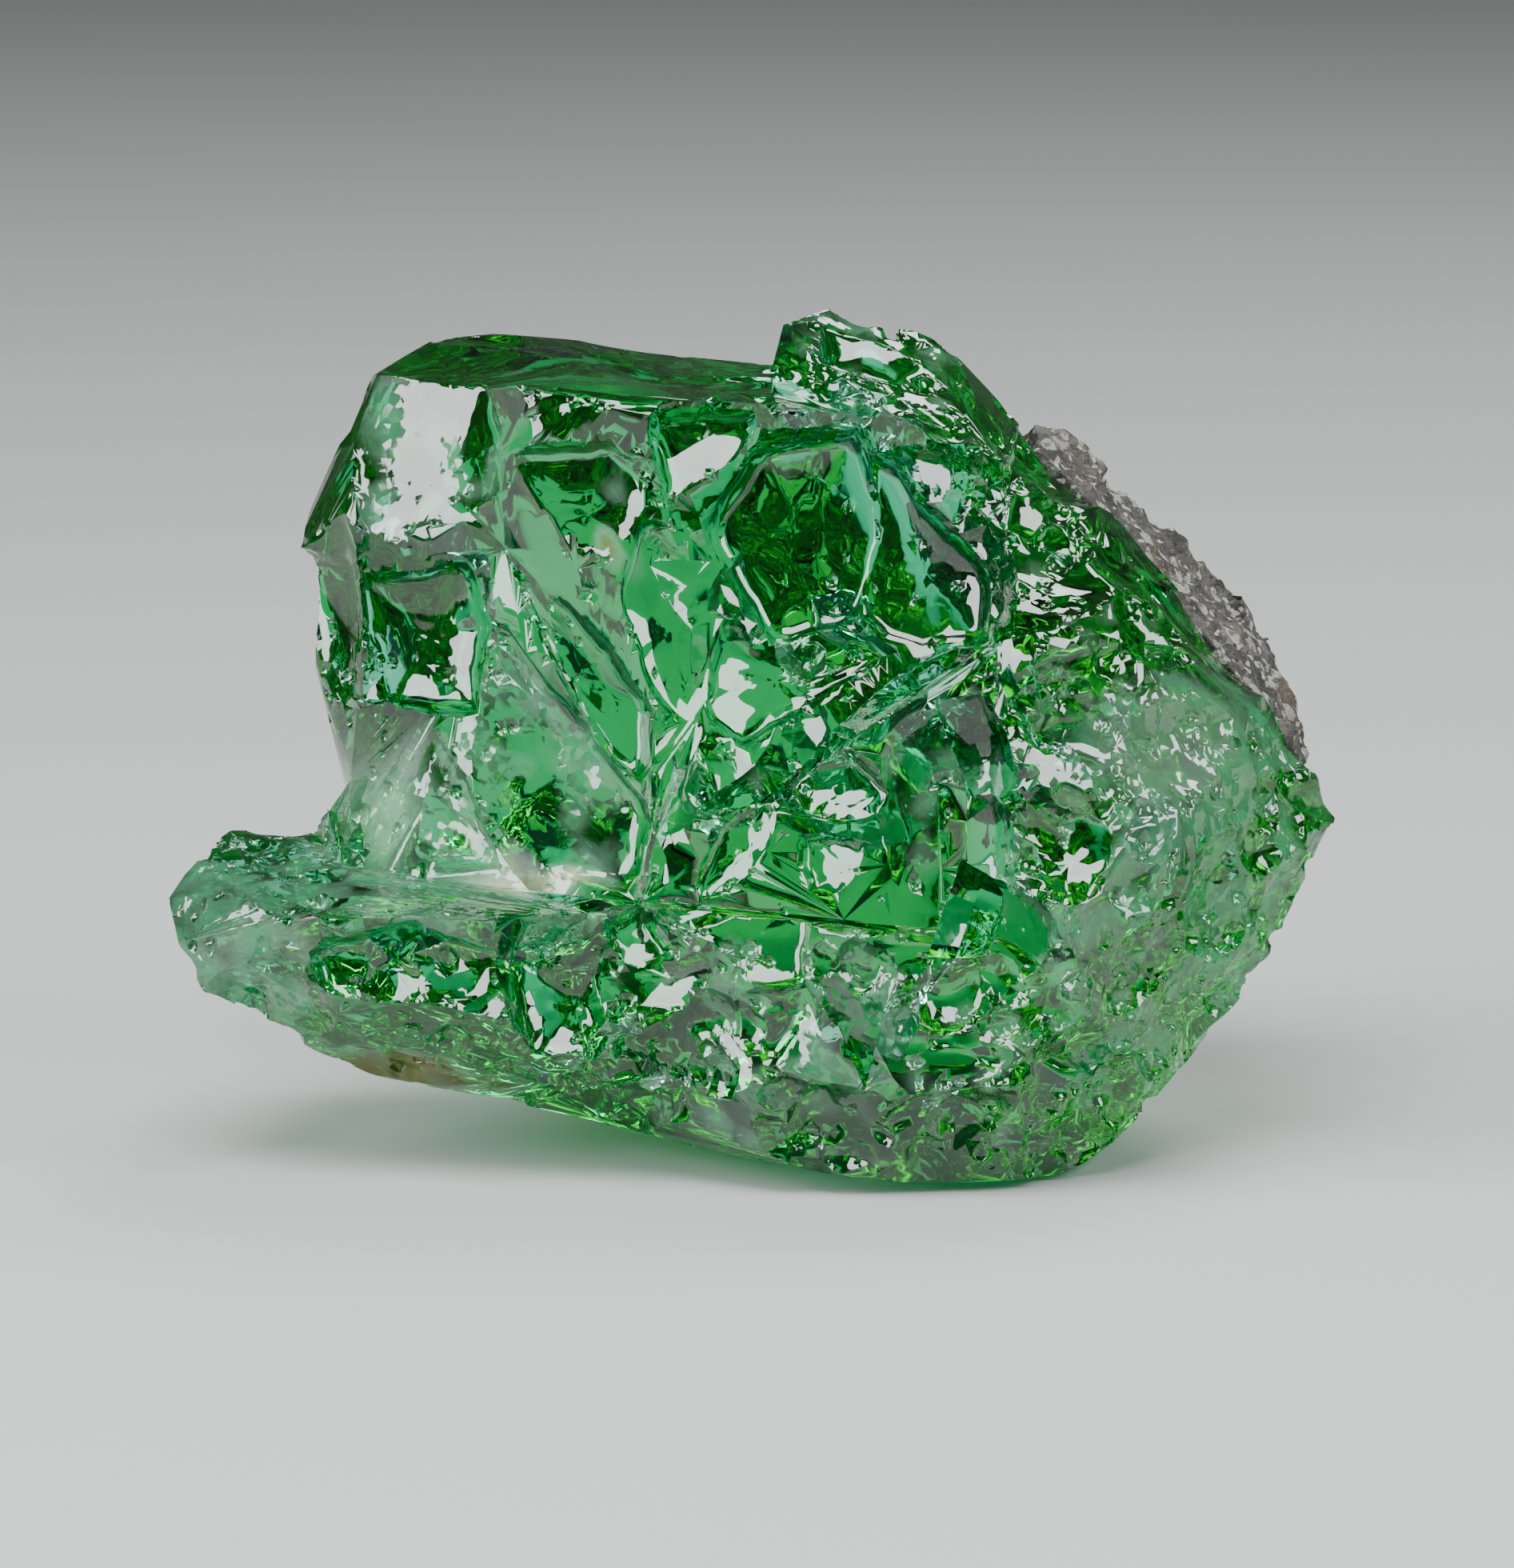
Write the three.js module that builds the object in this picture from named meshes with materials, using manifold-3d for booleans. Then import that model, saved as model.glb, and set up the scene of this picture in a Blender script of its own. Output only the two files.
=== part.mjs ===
// Tsavorite crystal: a broken piece of glassy green garnet with a crust of its host rock
// behind the upper right edge. Millimetres, +X to the right, -Y toward the viewer, +Z up.
import * as THREE from "three";
import { ConvexGeometry } from "three/addons/geometries/ConvexGeometry.js";
import { mergeVertices } from "three/addons/utils/BufferGeometryUtils.js";
import Module from "manifold-3d";

const kernel = await Module();
kernel.setup();
const { Manifold, Mesh } = kernel;

// Driving dimensions
const VIEW_TILT = 10; // degrees by which the front facets lean back, as seen from the front
const FACET_REACH = 8; // how far a front facet clears the space ahead of it
const CONTACT_GAP = 0.1; // open joint between the crystal and the host rock
const CONTACT_NORMAL = new THREE.Vector3(0.55, 0.8, 0.2).normalize();
const CONTACT_OFFSET = 5.61; // distance of the contact face from the origin
const CLEAN_SIZE = 0.03; // edges shorter than this are closed up after the cuts
const SEED = 20417;

// Corners of the lumps that the crystal grew or broke into
const CROWN = [
  [-5.8, 0.8, 11.7], [-5.4, -0.4, 11.9], [-4.0, -1.5, 11.9], [-2.9, -1.9, 11.7], [1.6, -2.1, 11.4],
  [3.6, -2.7, 10.5], [-5.9, 2.2, 11.5], [-4.8, 3.1, 12.1], [-3.1, 4.3, 11.8], [0.2, 4.6, 11.1],
  [3.1, 3.0, 11.4], [4.0, 1.4, 10.8], [-7.1, 1.6, 8.9], [-6.7, 1.9, 9.9], [-6.9, 1.6, 7.5],
  [-6.7, 1.3, 6.7], [-6.1, -0.5, 9.3], [-6.1, -0.4, 6.8], [-5.4, 4.4, 8.2], [-3.2, 5.9, 9.0],
  [1.0, 5.9, 8.6], [3.4, -3.5, 8.2], [-1.7, -3.4, 6.2], [-5.2, 4.5, 3.4], [-6.3, 1.2, 5.7],
  [-5.9, 1.2, 3.4], [-5.0, -1.6, 3.0], [-1.6, -3.6, 3.0], [3.5, -4.4, 3.0], [-0.4, 6.0, 3.0],
  [4.6, 3.8, 3.0],
];
const NECK = [
  [-7.0, 1.1, 4.0], [-6.8, 1.0, 4.7], [-6.3, 0.2, 5.5], [-5.6, -0.8, 5.6], [-5.2, -1.7, 4.5],
  [-4.4, -1.0, 6.4], [-6.6, 2.3, 4.3], [-5.4, 2.8, 5.6], [-6.4, 1.0, 3.2], [-4.2, -1.8, 3.2],
  [-3.6, 1.0, 5.0],
];
const KNOB = [
  [0.4, 0.4, 12.5], [1.3, 1.4, 12.7], [2.0, 1.5, 12.5], [3.0, 1.4, 12.0], [4.0, 1.0, 10.9],
  [0.2, -0.8, 11.9], [1.7, -1.7, 11.6], [3.7, -2.3, 10.6], [0.9, 2.6, 11.7], [2.7, 2.3, 11.4],
  [0.3, -0.9, 10.6], [3.4, -1.6, 9.4], [0.5, 3.0, 10.6], [3.2, 2.7, 10.2], [4.0, 1.2, 9.6],
];
const SHOULDER = [
  [3.5, -3.4, 8.1], [4.0, 1.1, 10.8], [5.4, 0.6, 9.6], [6.7, 0.2, 8.2], [8.4, -0.3, 5.8],
  [8.9, -0.9, 5.4], [8.5, -0.9, 4.3], [7.8, -0.9, 3.3], [7.6, -1.5, 2.5], [6.4, -2.5, 1.8],
  [4.4, -4.1, 7.4], [6.4, -3.4, 6.4], [4.2, -2.5, 9.6], [5.5, -2.4, 8.7], [6.9, -1.9, 7.2],
  [7.8, -2.1, 5.3], [6.2, -4.1, 4.4], [4.6, -5.0, 4.6], [3.6, -4.9, 6.2], [3.6, -5.2, 3.4],
  [4.6, -4.6, 1.8], [2.2, -2.0, 3.0], [2.0, 4.6, 3.0], [6.8, 2.4, 3.2], [8.0, 1.4, 4.6],
  [6.2, 2.6, 8.0], [2.2, 5.0, 8.6], [2.6, -2.0, 9.7], [2.4, -2.4, 8.4], [2.9, -1.0, 10.5],
  [3.0, 0.6, 11.0], [3.6, -2.2, 10.2],
];
const FOOT = [
  [-1.5, -4.4, 4.3], [3.5, -5.1, 3.9], [4.1, -5.2, 2.5], [2.8, -4.9, 1.2], [5.6, -2.8, 0.7],
  [4.6, -3.6, 0.2], [3.9, -3.8, 0.15], [1.9, -4.1, 0.15], [0.6, -4.4, 0.5], [-1.8, -0.6, 0.1],
  [-3.0, 2.2, 0.0], [0.0, 4.2, 0.0], [4.3, 3.4, 0.0], [5.4, -1.0, 0.0], [1.9, -3.5, 0.0],
  [4.3, -3.0, 0.0], [-3.5, -1.0, 0.7], [-3.6, -4.6, 3.6], [-2.0, -4.5, 2.2], [-4.4, 1.6, 1.2],
  [-5.2, 3.4, 5.3], [-2.6, 5.6, 5.2], [2.0, 5.6, 5.0], [6.6, 2.4, 4.0], [7.5, -1.2, 2.6],
  [1.4, -5.0, 1.4],
];
const LEDGE = [
  [-8.1, 1.0, 4.6], [-8.5, -0.4, 4.5], [-7.0, 1.5, 4.1], [-2.0, -2.6, 4.2], [-7.6, -3.2, 4.3],
  [-6.5, -4.1, 4.2], [-3.6, -4.9, 4.1], [-1.4, -4.8, 4.1], [-8.9, -1.5, 4.0], [-8.7, -2.4, 3.5],
  [-8.3, -2.5, 2.7], [-7.6, -2.2, 2.2], [-6.6, -1.8, 1.9], [-5.8, -1.2, 1.2], [-4.2, -0.8, 0.8],
  [-1.8, -0.5, 0.4], [-6.4, -4.1, 3.2], [-3.6, -4.5, 2.5], [-1.4, -4.7, 2.2], [-6.8, 1.4, 2.8],
  [-4.6, 2.4, 1.8], [-2.0, 2.0, 1.0], [-8.3, 0.4, 3.4], [-4.4, 3.2, 4.2],
];
const HOST_ROCK = [
  [4.2, 1.5, 10.6], [5.6, 0.9, 9.25], [7.0, 0.5, 7.6], [8.2, 0.2, 6.1], [4.3, 2.8, 10.75],
  [5.0, 3.3, 10.4], [5.9, 3.8, 9.5], [6.9, 4.1, 8.45], [7.7, 4.0, 7.8], [8.2, 3.5, 6.9],
  [8.45, 2.9, 6.1], [8.6, 1.9, 5.5], [2.7, 4.9, 9.2], [4.9, 5.5, 7.0], [5.6, 4.9, 4.6],
  [7.2, 3.2, 4.2], [8.0, 1.0, 5.2], [2.1, 4.9, 6.4], [4.0, 4.4, 4.0],
];

// Flat breaks of the front, each given by its corners
const FRONT_FACETS = [
  // striated gloss face and the scoops along the left edge
  [[-5.6, -0.3, 11.7], [-4.0, -1.4, 11.7], [-3.8, -1.0, 9.3], [-6.0, -0.1, 8.8]],
  [[-6.0, -0.1, 8.8], [-7.0, 1.6, 8.9], [-6.8, 1.4, 6.7], [-6.0, 0.1, 6.8]],
  [[-6.0, -0.1, 8.8], [-3.8, -1.0, 9.3], [-5.2, 0.4, 7.8]],
  [[-3.8, -1.0, 9.3], [-4.3, -0.9, 7.4], [-5.2, 0.4, 7.8]],
  [[-4.3, -0.9, 7.4], [-4.5, -1.0, 6.9], [-6.0, 0.1, 6.8], [-5.2, 0.4, 7.8]],
  [[-6.0, -0.1, 8.8], [-5.2, 0.4, 7.8], [-6.0, 0.1, 6.8]],
  // smooth grey face with its rounded right edge
  [[-4.0, -1.4, 11.7], [-3.7, -1.5, 10.9], [-3.8, -1.0, 9.3]],
  [[-3.7, -1.5, 10.9], [-1.9, -2.3, 10.8], [-1.5, -2.6, 9.5], [-2.7, -1.9, 9.1]],
  [[-3.7, -1.5, 10.9], [-2.7, -1.9, 9.1], [-3.8, -1.0, 9.3]],
  // long dark triangle between two thin ridges
  [[-3.8, -1.0, 9.3], [-2.7, -1.9, 9.1], [-1.7, -3.0, 7.2], [-2.4, -2.0, 6.6]],
  [[-3.8, -1.0, 9.3], [-2.4, -2.0, 6.6], [-1.6, -3.2, 5.8], [-2.2, -2.5, 5.6]],
  // satin slope down to the ledge
  [[-3.8, -1.0, 9.3], [-2.2, -2.5, 5.6], [-1.8, -3.1, 4.25], [-5.0, -1.4, 4.3], [-4.4, -0.9, 7.2]],
  [[-4.4, -0.9, 7.2], [-5.0, -1.4, 4.3], [-6.4, 0.9, 4.1], [-6.1, 0.3, 6.6]],
  [[-6.1, 0.3, 6.6], [-6.4, 0.9, 4.1], [-6.8, 1.4, 5.8], [-6.8, 1.4, 6.7]],
  // window: the deep hollow in the middle of the crown
  [[-1.9, -2.3, 10.8], [0.2, -1.9, 11.2], [-0.6, -1.3, 9.4], [-1.5, -2.6, 9.5]],
  [[0.2, -1.9, 11.2], [2.2, -1.9, 10.9], [0.9, -0.7, 8.7], [-0.6, -1.3, 9.4]],
  [[2.2, -1.9, 10.9], [2.5, -1.3, 9.9], [2.8, -1.0, 8.8], [0.9, -0.7, 8.7]],
  [[-1.5, -2.6, 9.5], [-0.6, -1.3, 9.4], [-0.8, -2.0, 7.1], [-1.7, -3.0, 7.2]],
  [[-0.6, -1.3, 9.4], [0.9, -0.7, 8.7], [1.2, -1.7, 7.2], [-0.8, -2.0, 7.1]],
  [[0.9, -0.7, 8.7], [2.8, -1.0, 8.8], [3.4, -3.1, 8.1], [1.2, -1.7, 7.2]],
  [[1.2, -1.7, 7.2], [3.4, -3.1, 8.1], [0.8, -3.7, 6.4], [-0.8, -2.0, 7.1]],
  [[-0.8, -2.0, 7.1], [0.8, -3.7, 6.4], [-0.3, -4.0, 5.6], [-1.5, -3.3, 5.3]],
  [[-0.8, -2.0, 7.1], [-1.5, -3.3, 5.3], [-1.7, -3.0, 7.2]],
  [[-1.5, -3.3, 5.3], [-0.3, -4.0, 5.6], [-0.9, -4.2, 4.5], [-1.7, -3.3, 4.3]],
  // two pale plates right of the window
  [[2.2, -1.9, 10.9], [3.7, -2.3, 10.4], [3.5, -2.4, 9.4], [2.5, -1.3, 9.9]],
  [[2.5, -1.3, 9.9], [3.5, -2.4, 9.4], [3.1, -1.9, 8.7], [2.8, -1.0, 8.8]],
  // glossy steps on the ridge below the window
  [[3.5, -3.2, 8.1], [1.8, -3.9, 6.4], [0.8, -3.7, 6.4]],
  [[0.8, -3.7, 6.4], [1.8, -3.9, 6.4], [1.8, -4.2, 5.1], [-0.3, -4.0, 5.6]],
  [[-0.3, -4.0, 5.6], [1.8, -4.2, 5.1], [1.6, -4.3, 4.4], [-0.9, -4.2, 4.5]],
  [[3.5, -3.2, 8.1], [3.5, -4.6, 7.0], [1.8, -3.9, 6.4]],
  [[1.8, -3.9, 6.4], [3.5, -4.6, 7.0], [3.5, -4.7, 4.4], [1.8, -4.2, 5.1]],
  [[1.8, -4.2, 5.1], [3.5, -4.7, 4.4], [1.6, -4.3, 4.4]],
  // belt across the lower front, the dark wedge in it and the deep pocket at its left
  [[-1.7, -4.1, 4.4], [3.5, -4.6, 4.4], [3.5, -4.95, 3.4], [-1.2, -4.5, 3.4]],
  [[0.9, -4.6, 3.4], [2.0, -4.5, 3.4], [1.6, -4.5, 1.7]],
  [[-3.7, -4.4, 3.9], [-2.0, -4.0, 3.9], [-1.7, -3.7, 2.4], [-3.0, -3.7, 2.3]],
];

// Curved breaks placed by hand: where, which way they open, ball radius, depth, stretch and turn
const TOP_BREAKS = [
  { at: [-3.9, 1.2, 12.0], facing: [-0.1, -0.25, 1], radius: 6,
    depth: 0.2, stretch: 1.3, sides: 14, steps: 3 },
  { at: [-0.6, 1.0, 11.75], facing: [0, -0.2, 1], radius: 3,
    depth: 0.3, stretch: 1.2, sides: 12, steps: 3 },
  { at: [7.9, -1.0, 3.0], facing: [0.9, -0.1, -0.4], radius: 1.2, depth: 0.25, sides: 10, steps: 2 },
];
const SHELL_BREAKS = [
  // striated face, left scoop and dark pocket
  { at: [-4.9, -0.8, 10.4], facing: [-0.55, -0.8, 0.1], radius: 3.4,
    depth: 0.28, stretch: 1.5, turn: 60, steps: 4 },
  { at: [-5.2, 0.1, 7.8], facing: [-0.1, -0.9, 0.4], radius: 1.4, depth: 0.2, stretch: 1.4, turn: 60 },
  { at: [-6.5, 0.6, 7.7], facing: [-0.75, -0.6, 0.1], radius: 1.8,
    depth: 0.22, stretch: 1.6, turn: 90 },
  // smooth grey face and the pale triangle beside it
  { at: [-2.6, -2.1, 10.3], facing: [0.1, -1, 0.1], radius: 3.4, depth: 0.1, stretch: 1.3 },
  { at: [-0.8, -1.9, 10.6], facing: [0.35, -0.9, 0.25], radius: 2.4,
    depth: 0.12, stretch: 1.3, turn: 40 },
  // the window
  { at: [1.7, -1.1, 9.1], facing: [-0.2, -0.95, 0.15], radius: 2.0,
    depth: 0.35, stretch: 1.35, turn: 75, steps: 5 },
  { at: [0.4, -1.5, 8.1], facing: [0.4, -0.85, 0.25], radius: 3.0,
    depth: 0.2, stretch: 1.5, turn: 50, steps: 4 },
  { at: [-0.9, -2.1, 8.3], facing: [0.55, -0.8, 0.1], radius: 2.4,
    depth: 0.16, stretch: 1.6, turn: 80, steps: 4 },
  { at: [0.9, -1.5, 10.4], facing: [0.1, -0.95, -0.2], radius: 2.2,
    depth: 0.16, stretch: 1.4, turn: 10 },
  { at: [0.2, -2.7, 6.7], facing: [-0.15, -0.8, 0.6], radius: 1.6,
    depth: 0.16, stretch: 1.7, turn: 30 },
  // plates and the white arc right of the window
  { at: [2.9, -2.0, 10.3], facing: [0.2, -0.9, 0.35], radius: 2.6, depth: 0.08 },
  { at: [4.7, -2.2, 9.2], facing: [0.15, -0.65, 0.75], radius: 1.4,
    depth: 0.26, stretch: 1.3, turn: 20, steps: 4 },
  // glossy steps on the ridge
  { at: [0.9, -4.1, 5.9], facing: [-0.35, -0.85, 0.4], radius: 1.3,
    depth: 0.22, stretch: 1.6, turn: 35, steps: 4 },
  { at: [0.0, -4.2, 5.0], facing: [-0.6, -0.75, 0.2], radius: 1.0, depth: 0.2, stretch: 1.4, turn: 80 },
  { at: [1.3, -4.3, 4.9], facing: [0.4, -0.9, -0.1], radius: 0.9, depth: 0.18, stretch: 1.3, turn: 60 },
  { at: [2.8, -4.5, 5.6], facing: [0, -1, 0.1], radius: 3.0, depth: 0.12, stretch: 1.4, turn: 90 },
  // satin slope and the long dark triangle
  { at: [-3.6, -1.6, 6.7], facing: [-0.35, -0.85, 0.2], radius: 3.5, depth: 0.12 },
  { at: [-2.2, -2.2, 7.3], facing: [-0.6, -0.75, 0], radius: 2.2, depth: 0.16, stretch: 2.2, turn: 75 },
  // pockets and chips of the lower front
  { at: [-2.8, -3.8, 3.1], facing: [0.3, -0.85, 0.4], radius: 1.2,
    depth: 0.25, stretch: 1.4, turn: 60 },
  { at: [-0.8, -4.5, 2.3], facing: [-0.25, -0.9, 0.3], radius: 1.5,
    depth: 0.28, stretch: 1.4, turn: 20, steps: 4 },
  { at: [-1.5, -4.0, 1.4], facing: [-0.1, -0.9, -0.4], radius: 1.5, depth: 0.26, stretch: 1.4 },
  { at: [0.4, -4.5, 1.1], facing: [0.2, -0.9, -0.3], radius: 1.2, depth: 0.2, stretch: 1.4, turn: 120 },
  { at: [-1.7, -4.4, 3.8], facing: [0.3, -0.9, 0.4], radius: 1.0, depth: 0.14, stretch: 1.3 },
  { at: [2.8, -4.9, 2.6], facing: [0.45, -0.85, 0.3], radius: 1.4,
    depth: 0.16, stretch: 1.5, turn: 20 },
  { at: [2.7, -4.7, 1.3], facing: [0.2, -0.85, -0.5], radius: 1.2,
    depth: 0.18, stretch: 1.4, turn: 150 },
  { at: [-5.3, -4.2, 3.5], facing: [0, -0.95, 0.1], radius: 1.8, depth: 0.22, stretch: 1.7 },
  { at: [-5.4, -3.3, 2.2], facing: [-0.1, -0.8, -0.6], radius: 1.9,
    depth: 0.22, stretch: 1.8, turn: 15 },
  { at: [-4.0, -2.8, 1.6], facing: [-0.1, -0.7, -0.7], radius: 1.5,
    depth: 0.2, stretch: 1.6, turn: 160 },
];

// A repeatable stream of numbers between 0 and 1
function stream(seed) {
  let state = seed;
  return () => {
    state = (state + 0x6d2b79f5) | 0;
    let mixed = Math.imul(state ^ (state >>> 15), 1 | state);
    mixed = (mixed + Math.imul(mixed ^ (mixed >>> 7), 61 | mixed)) ^ mixed;
    return ((mixed ^ (mixed >>> 14)) >>> 0) / 4294967296;
  };
}

function between(random, low, high) {
  return low + (high - low) * random();
}

function toSolid(geometry) {
  const bare = new THREE.BufferGeometry();
  bare.setAttribute("position", geometry.getAttribute("position"));
  bare.setIndex(geometry.getIndex());
  const joined = mergeVertices(bare, 1e-5);
  return new Manifold(
    new Mesh({
      numProp: 3,
      vertProperties: new Float32Array(joined.getAttribute("position").array),
      triVerts: new Uint32Array(joined.getIndex().array),
    }),
  );
}

function toGeometry(body) {
  const mesh = body.getMesh();
  const geometry = new THREE.BufferGeometry();
  const corners = new Float32Array(mesh.vertProperties);
  const triangles = new Uint32Array(mesh.triVerts);
  geometry.setAttribute("position", new THREE.BufferAttribute(corners, 3));
  geometry.setIndex(new THREE.BufferAttribute(triangles, 1));
  return geometry;
}

function hull(corners) {
  return toSolid(new ConvexGeometry(corners.map((corner) => new THREE.Vector3(...corner))));
}

// The space ahead of a flat break, from its corners toward the viewer
function facet(corners) {
  const tilt = THREE.MathUtils.degToRad(VIEW_TILT);
  const step = [0, -Math.cos(tilt) * FACET_REACH, Math.sin(tilt) * FACET_REACH];
  const ahead = corners.map((corner) => corner.map((value, axis) => value + step[axis]));
  return hull([...corners, ...ahead]);
}

// A shell-shaped break: part of a ball that opens along `facing`, turned from a profile
function shellBreak({ at, facing, radius, depth, stretch = 1, turn = 0, sides = 16, steps = 3 }) {
  const opening = Math.acos(1 - depth / radius) * 1.5 + 0.1;
  const profile = [new THREE.Vector2(0, -depth)];
  for (let step = 1; step <= steps; step += 1) {
    const angle = (opening * step) / steps;
    profile.push(new THREE.Vector2(radius * Math.sin(angle), radius - depth - radius * Math.cos(angle)));
  }
  const rim = profile[steps];
  const lip = new THREE.Vector2(rim.x * 1.35, rim.y + rim.x * 0.35 * Math.tan(opening));
  profile.push(lip, new THREE.Vector2(0, lip.y + 0.3 * rim.x));
  const geometry = new THREE.LatheGeometry(profile, sides);
  geometry.scale(stretch, 1, 1);
  geometry.rotateY(THREE.MathUtils.degToRad(turn));
  const outward = new THREE.Vector3(...facing).normalize();
  geometry.applyQuaternion(new THREE.Quaternion().setFromUnitVectors(new THREE.Vector3(0, 1, 0), outward));
  geometry.translate(...at);
  return toSolid(geometry);
}

// Evenly chosen places on the surface of a body where `wanted` holds
function places(body, count, random, wanted) {
  const geometry = toGeometry(body);
  const position = geometry.getAttribute("position");
  const index = geometry.getIndex();
  const triangles = [];
  let total = 0;
  for (let i = 0; i < index.count; i += 3) {
    const corner = (k) => new THREE.Vector3().fromBufferAttribute(position, index.getX(i + k));
    const triangle = new THREE.Triangle(corner(0), corner(1), corner(2));
    total += triangle.getArea();
    triangles.push({ triangle, upTo: total });
  }
  const found = [];
  for (let tries = 0; tries < count * 60 && found.length < count; tries += 1) {
    const mark = random() * total;
    const { triangle } = triangles.find(({ upTo }) => upTo >= mark);
    const [u, v] = [random(), random()];
    const [s, t] = u + v > 1 ? [1 - u, 1 - v] : [u, v];
    const at = triangle.a.clone();
    at.addScaledVector(triangle.b.clone().sub(triangle.a), s);
    at.addScaledVector(triangle.c.clone().sub(triangle.a), t);
    const facing = triangle.getNormal(new THREE.Vector3());
    if (wanted(at, facing)) found.push({ at, facing });
  }
  return found;
}

function tilted(facing, random, amount) {
  const lean = () => between(random, -amount, amount);
  return facing.clone().add(new THREE.Vector3(lean(), lean(), lean())).normalize();
}

// Shell breaks scattered over the places where `wanted` holds
function scatterBreaks(body, random, { count, radius, depth, lean, sides, steps, wanted }) {
  const cutters = places(body, count, random, wanted).map(({ at, facing }) =>
    shellBreak({
      at: at.toArray(),
      facing: tilted(facing, random, lean).toArray(),
      radius: between(random, ...radius),
      depth: between(random, ...depth),
      stretch: between(random, 1, 1.6),
      turn: between(random, 0, 180),
      sides,
      steps,
    }),
  );
  return body.subtract(Manifold.union(cutters));
}

// Everything beyond the contact face, moved out by `gap`
function beyondContact(gap) {
  const size = 40;
  const geometry = new THREE.BoxGeometry(size, size, size);
  geometry.translate(0, size / 2, 0);
  const turn = new THREE.Quaternion().setFromUnitVectors(new THREE.Vector3(0, 1, 0), CONTACT_NORMAL);
  geometry.applyQuaternion(turn);
  geometry.translate(...CONTACT_NORMAL.clone().multiplyScalar(CONTACT_OFFSET + gap).toArray());
  return toSolid(geometry);
}

function belowFloor() {
  const geometry = new THREE.BoxGeometry(40, 40, 4);
  geometry.translate(0, 0, -2);
  return toSolid(geometry);
}

function makeCrown(random) {
  const crown = scatterBreaks(hull(CROWN), random, {
    count: 15, radius: [5, 12], depth: [0.15, 0.4], lean: 0.2, sides: 12, steps: 2,
    wanted: (at) => at.y > 1.5 && at.z > 3.4,
  });
  const neck = scatterBreaks(hull(NECK), random, {
    count: 4, radius: [1, 2], depth: [0.1, 0.2], lean: 0.3, sides: 8, steps: 2,
    wanted: (at) => at.x < -5.4 && at.z > 3.6,
  });
  return crown.subtract(Manifold.union(TOP_BREAKS.map(shellBreak))).add(neck);
}

function makeKnob(random) {
  return scatterBreaks(hull(KNOB), random, {
    count: 9, radius: [1, 2.2], depth: [0.06, 0.16], lean: 0.3, sides: 8, steps: 2,
    wanted: (at) => at.z > 11 && at.y < 1.8,
  });
}

function makeShoulder(random) {
  const isFrosted = (at) => at.x > 3.6 && at.z > 0.6 && at.y < 2;
  return scatterBreaks(hull(SHOULDER), random, {
    count: 64, radius: [0.8, 2.6], depth: [0.08, 0.2], lean: 0.35, sides: 7, steps: 2, wanted: isFrosted,
  });
}

function makeFoot(random) {
  const rear = scatterBreaks(hull(FOOT), random, {
    count: 9, radius: [3, 8], depth: [0.12, 0.3], lean: 0.2, sides: 12, steps: 2,
    wanted: (at) => at.y > 0.5 && at.z > 0.7,
  });
  return scatterBreaks(rear, random, {
    count: 12, radius: [0.8, 2], depth: [0.08, 0.18], lean: 0.3, sides: 8, steps: 2,
    wanted: (at) => at.y < -1.5 && at.z < 2.4 && at.z > 0.5,
  });
}

function makeLedge(random) {
  const under = scatterBreaks(hull(LEDGE), random, {
    count: 5, radius: [2, 4], depth: [0.1, 0.22], lean: 0.2, sides: 10, steps: 2,
    wanted: (at, facing) => facing.z < -0.2 && at.x > -7,
  });
  return scatterBreaks(under, random, {
    count: 14, radius: [0.7, 1.6], depth: [0.07, 0.15], lean: 0.3, sides: 7, steps: 2,
    wanted: (at) => at.x < -6.3 && at.x > -8.7,
  });
}

// The bare part of the contact face, where no host rock was left
function breakContact(body, random) {
  return scatterBreaks(body, random, {
    count: 7, radius: [4, 9], depth: [0.15, 0.35], lean: 0.15, sides: 12, steps: 2,
    wanted: (at) => CONTACT_NORMAL.dot(at) > CONTACT_OFFSET - 0.01 && (at.x < 1.4 || at.z < 3),
  });
}

function makeCrystal(random) {
  const lumps = [makeCrown, makeKnob, makeShoulder, makeFoot, makeLedge].map((make) => make(random));
  let body = breakContact(Manifold.union(lumps).subtract(beyondContact(0)), random);
  body = body.subtract(Manifold.union(FRONT_FACETS.map(facet)));
  body = body.subtract(Manifold.union(SHELL_BREAKS.map(shellBreak)));
  return body.subtract(belowFloor());
}

function makeHostRock(random) {
  const body = hull(HOST_ROCK).intersect(beyondContact(CONTACT_GAP));
  const isOuter = (at) => CONTACT_NORMAL.dot(at) > CONTACT_OFFSET + 0.35;
  return scatterBreaks(body, random, {
    count: 62, radius: [0.5, 2.2], depth: [0.08, 0.2], lean: 0.4, sides: 7, steps: 1, wanted: isOuter,
  });
}

// The largest of the separate pieces that the cuts left
function largest(body) {
  return body.decompose().reduce((most, piece) => (piece.volume() > most.volume() ? piece : most));
}

function named(body, name, material) {
  const clean = largest(body.setTolerance(CLEAN_SIZE).simplify(CLEAN_SIZE));
  const mesh = new THREE.Mesh(toGeometry(clean), material);
  mesh.name = name;
  return mesh;
}

// Puts the origin below the middle of the specimen, at the height of the flat base
function centreInPlan(group) {
  const middle = new THREE.Box3().setFromObject(group).getCenter(new THREE.Vector3());
  group.children.forEach((mesh) => mesh.position.set(-middle.x, -middle.y, 0));
}

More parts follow.
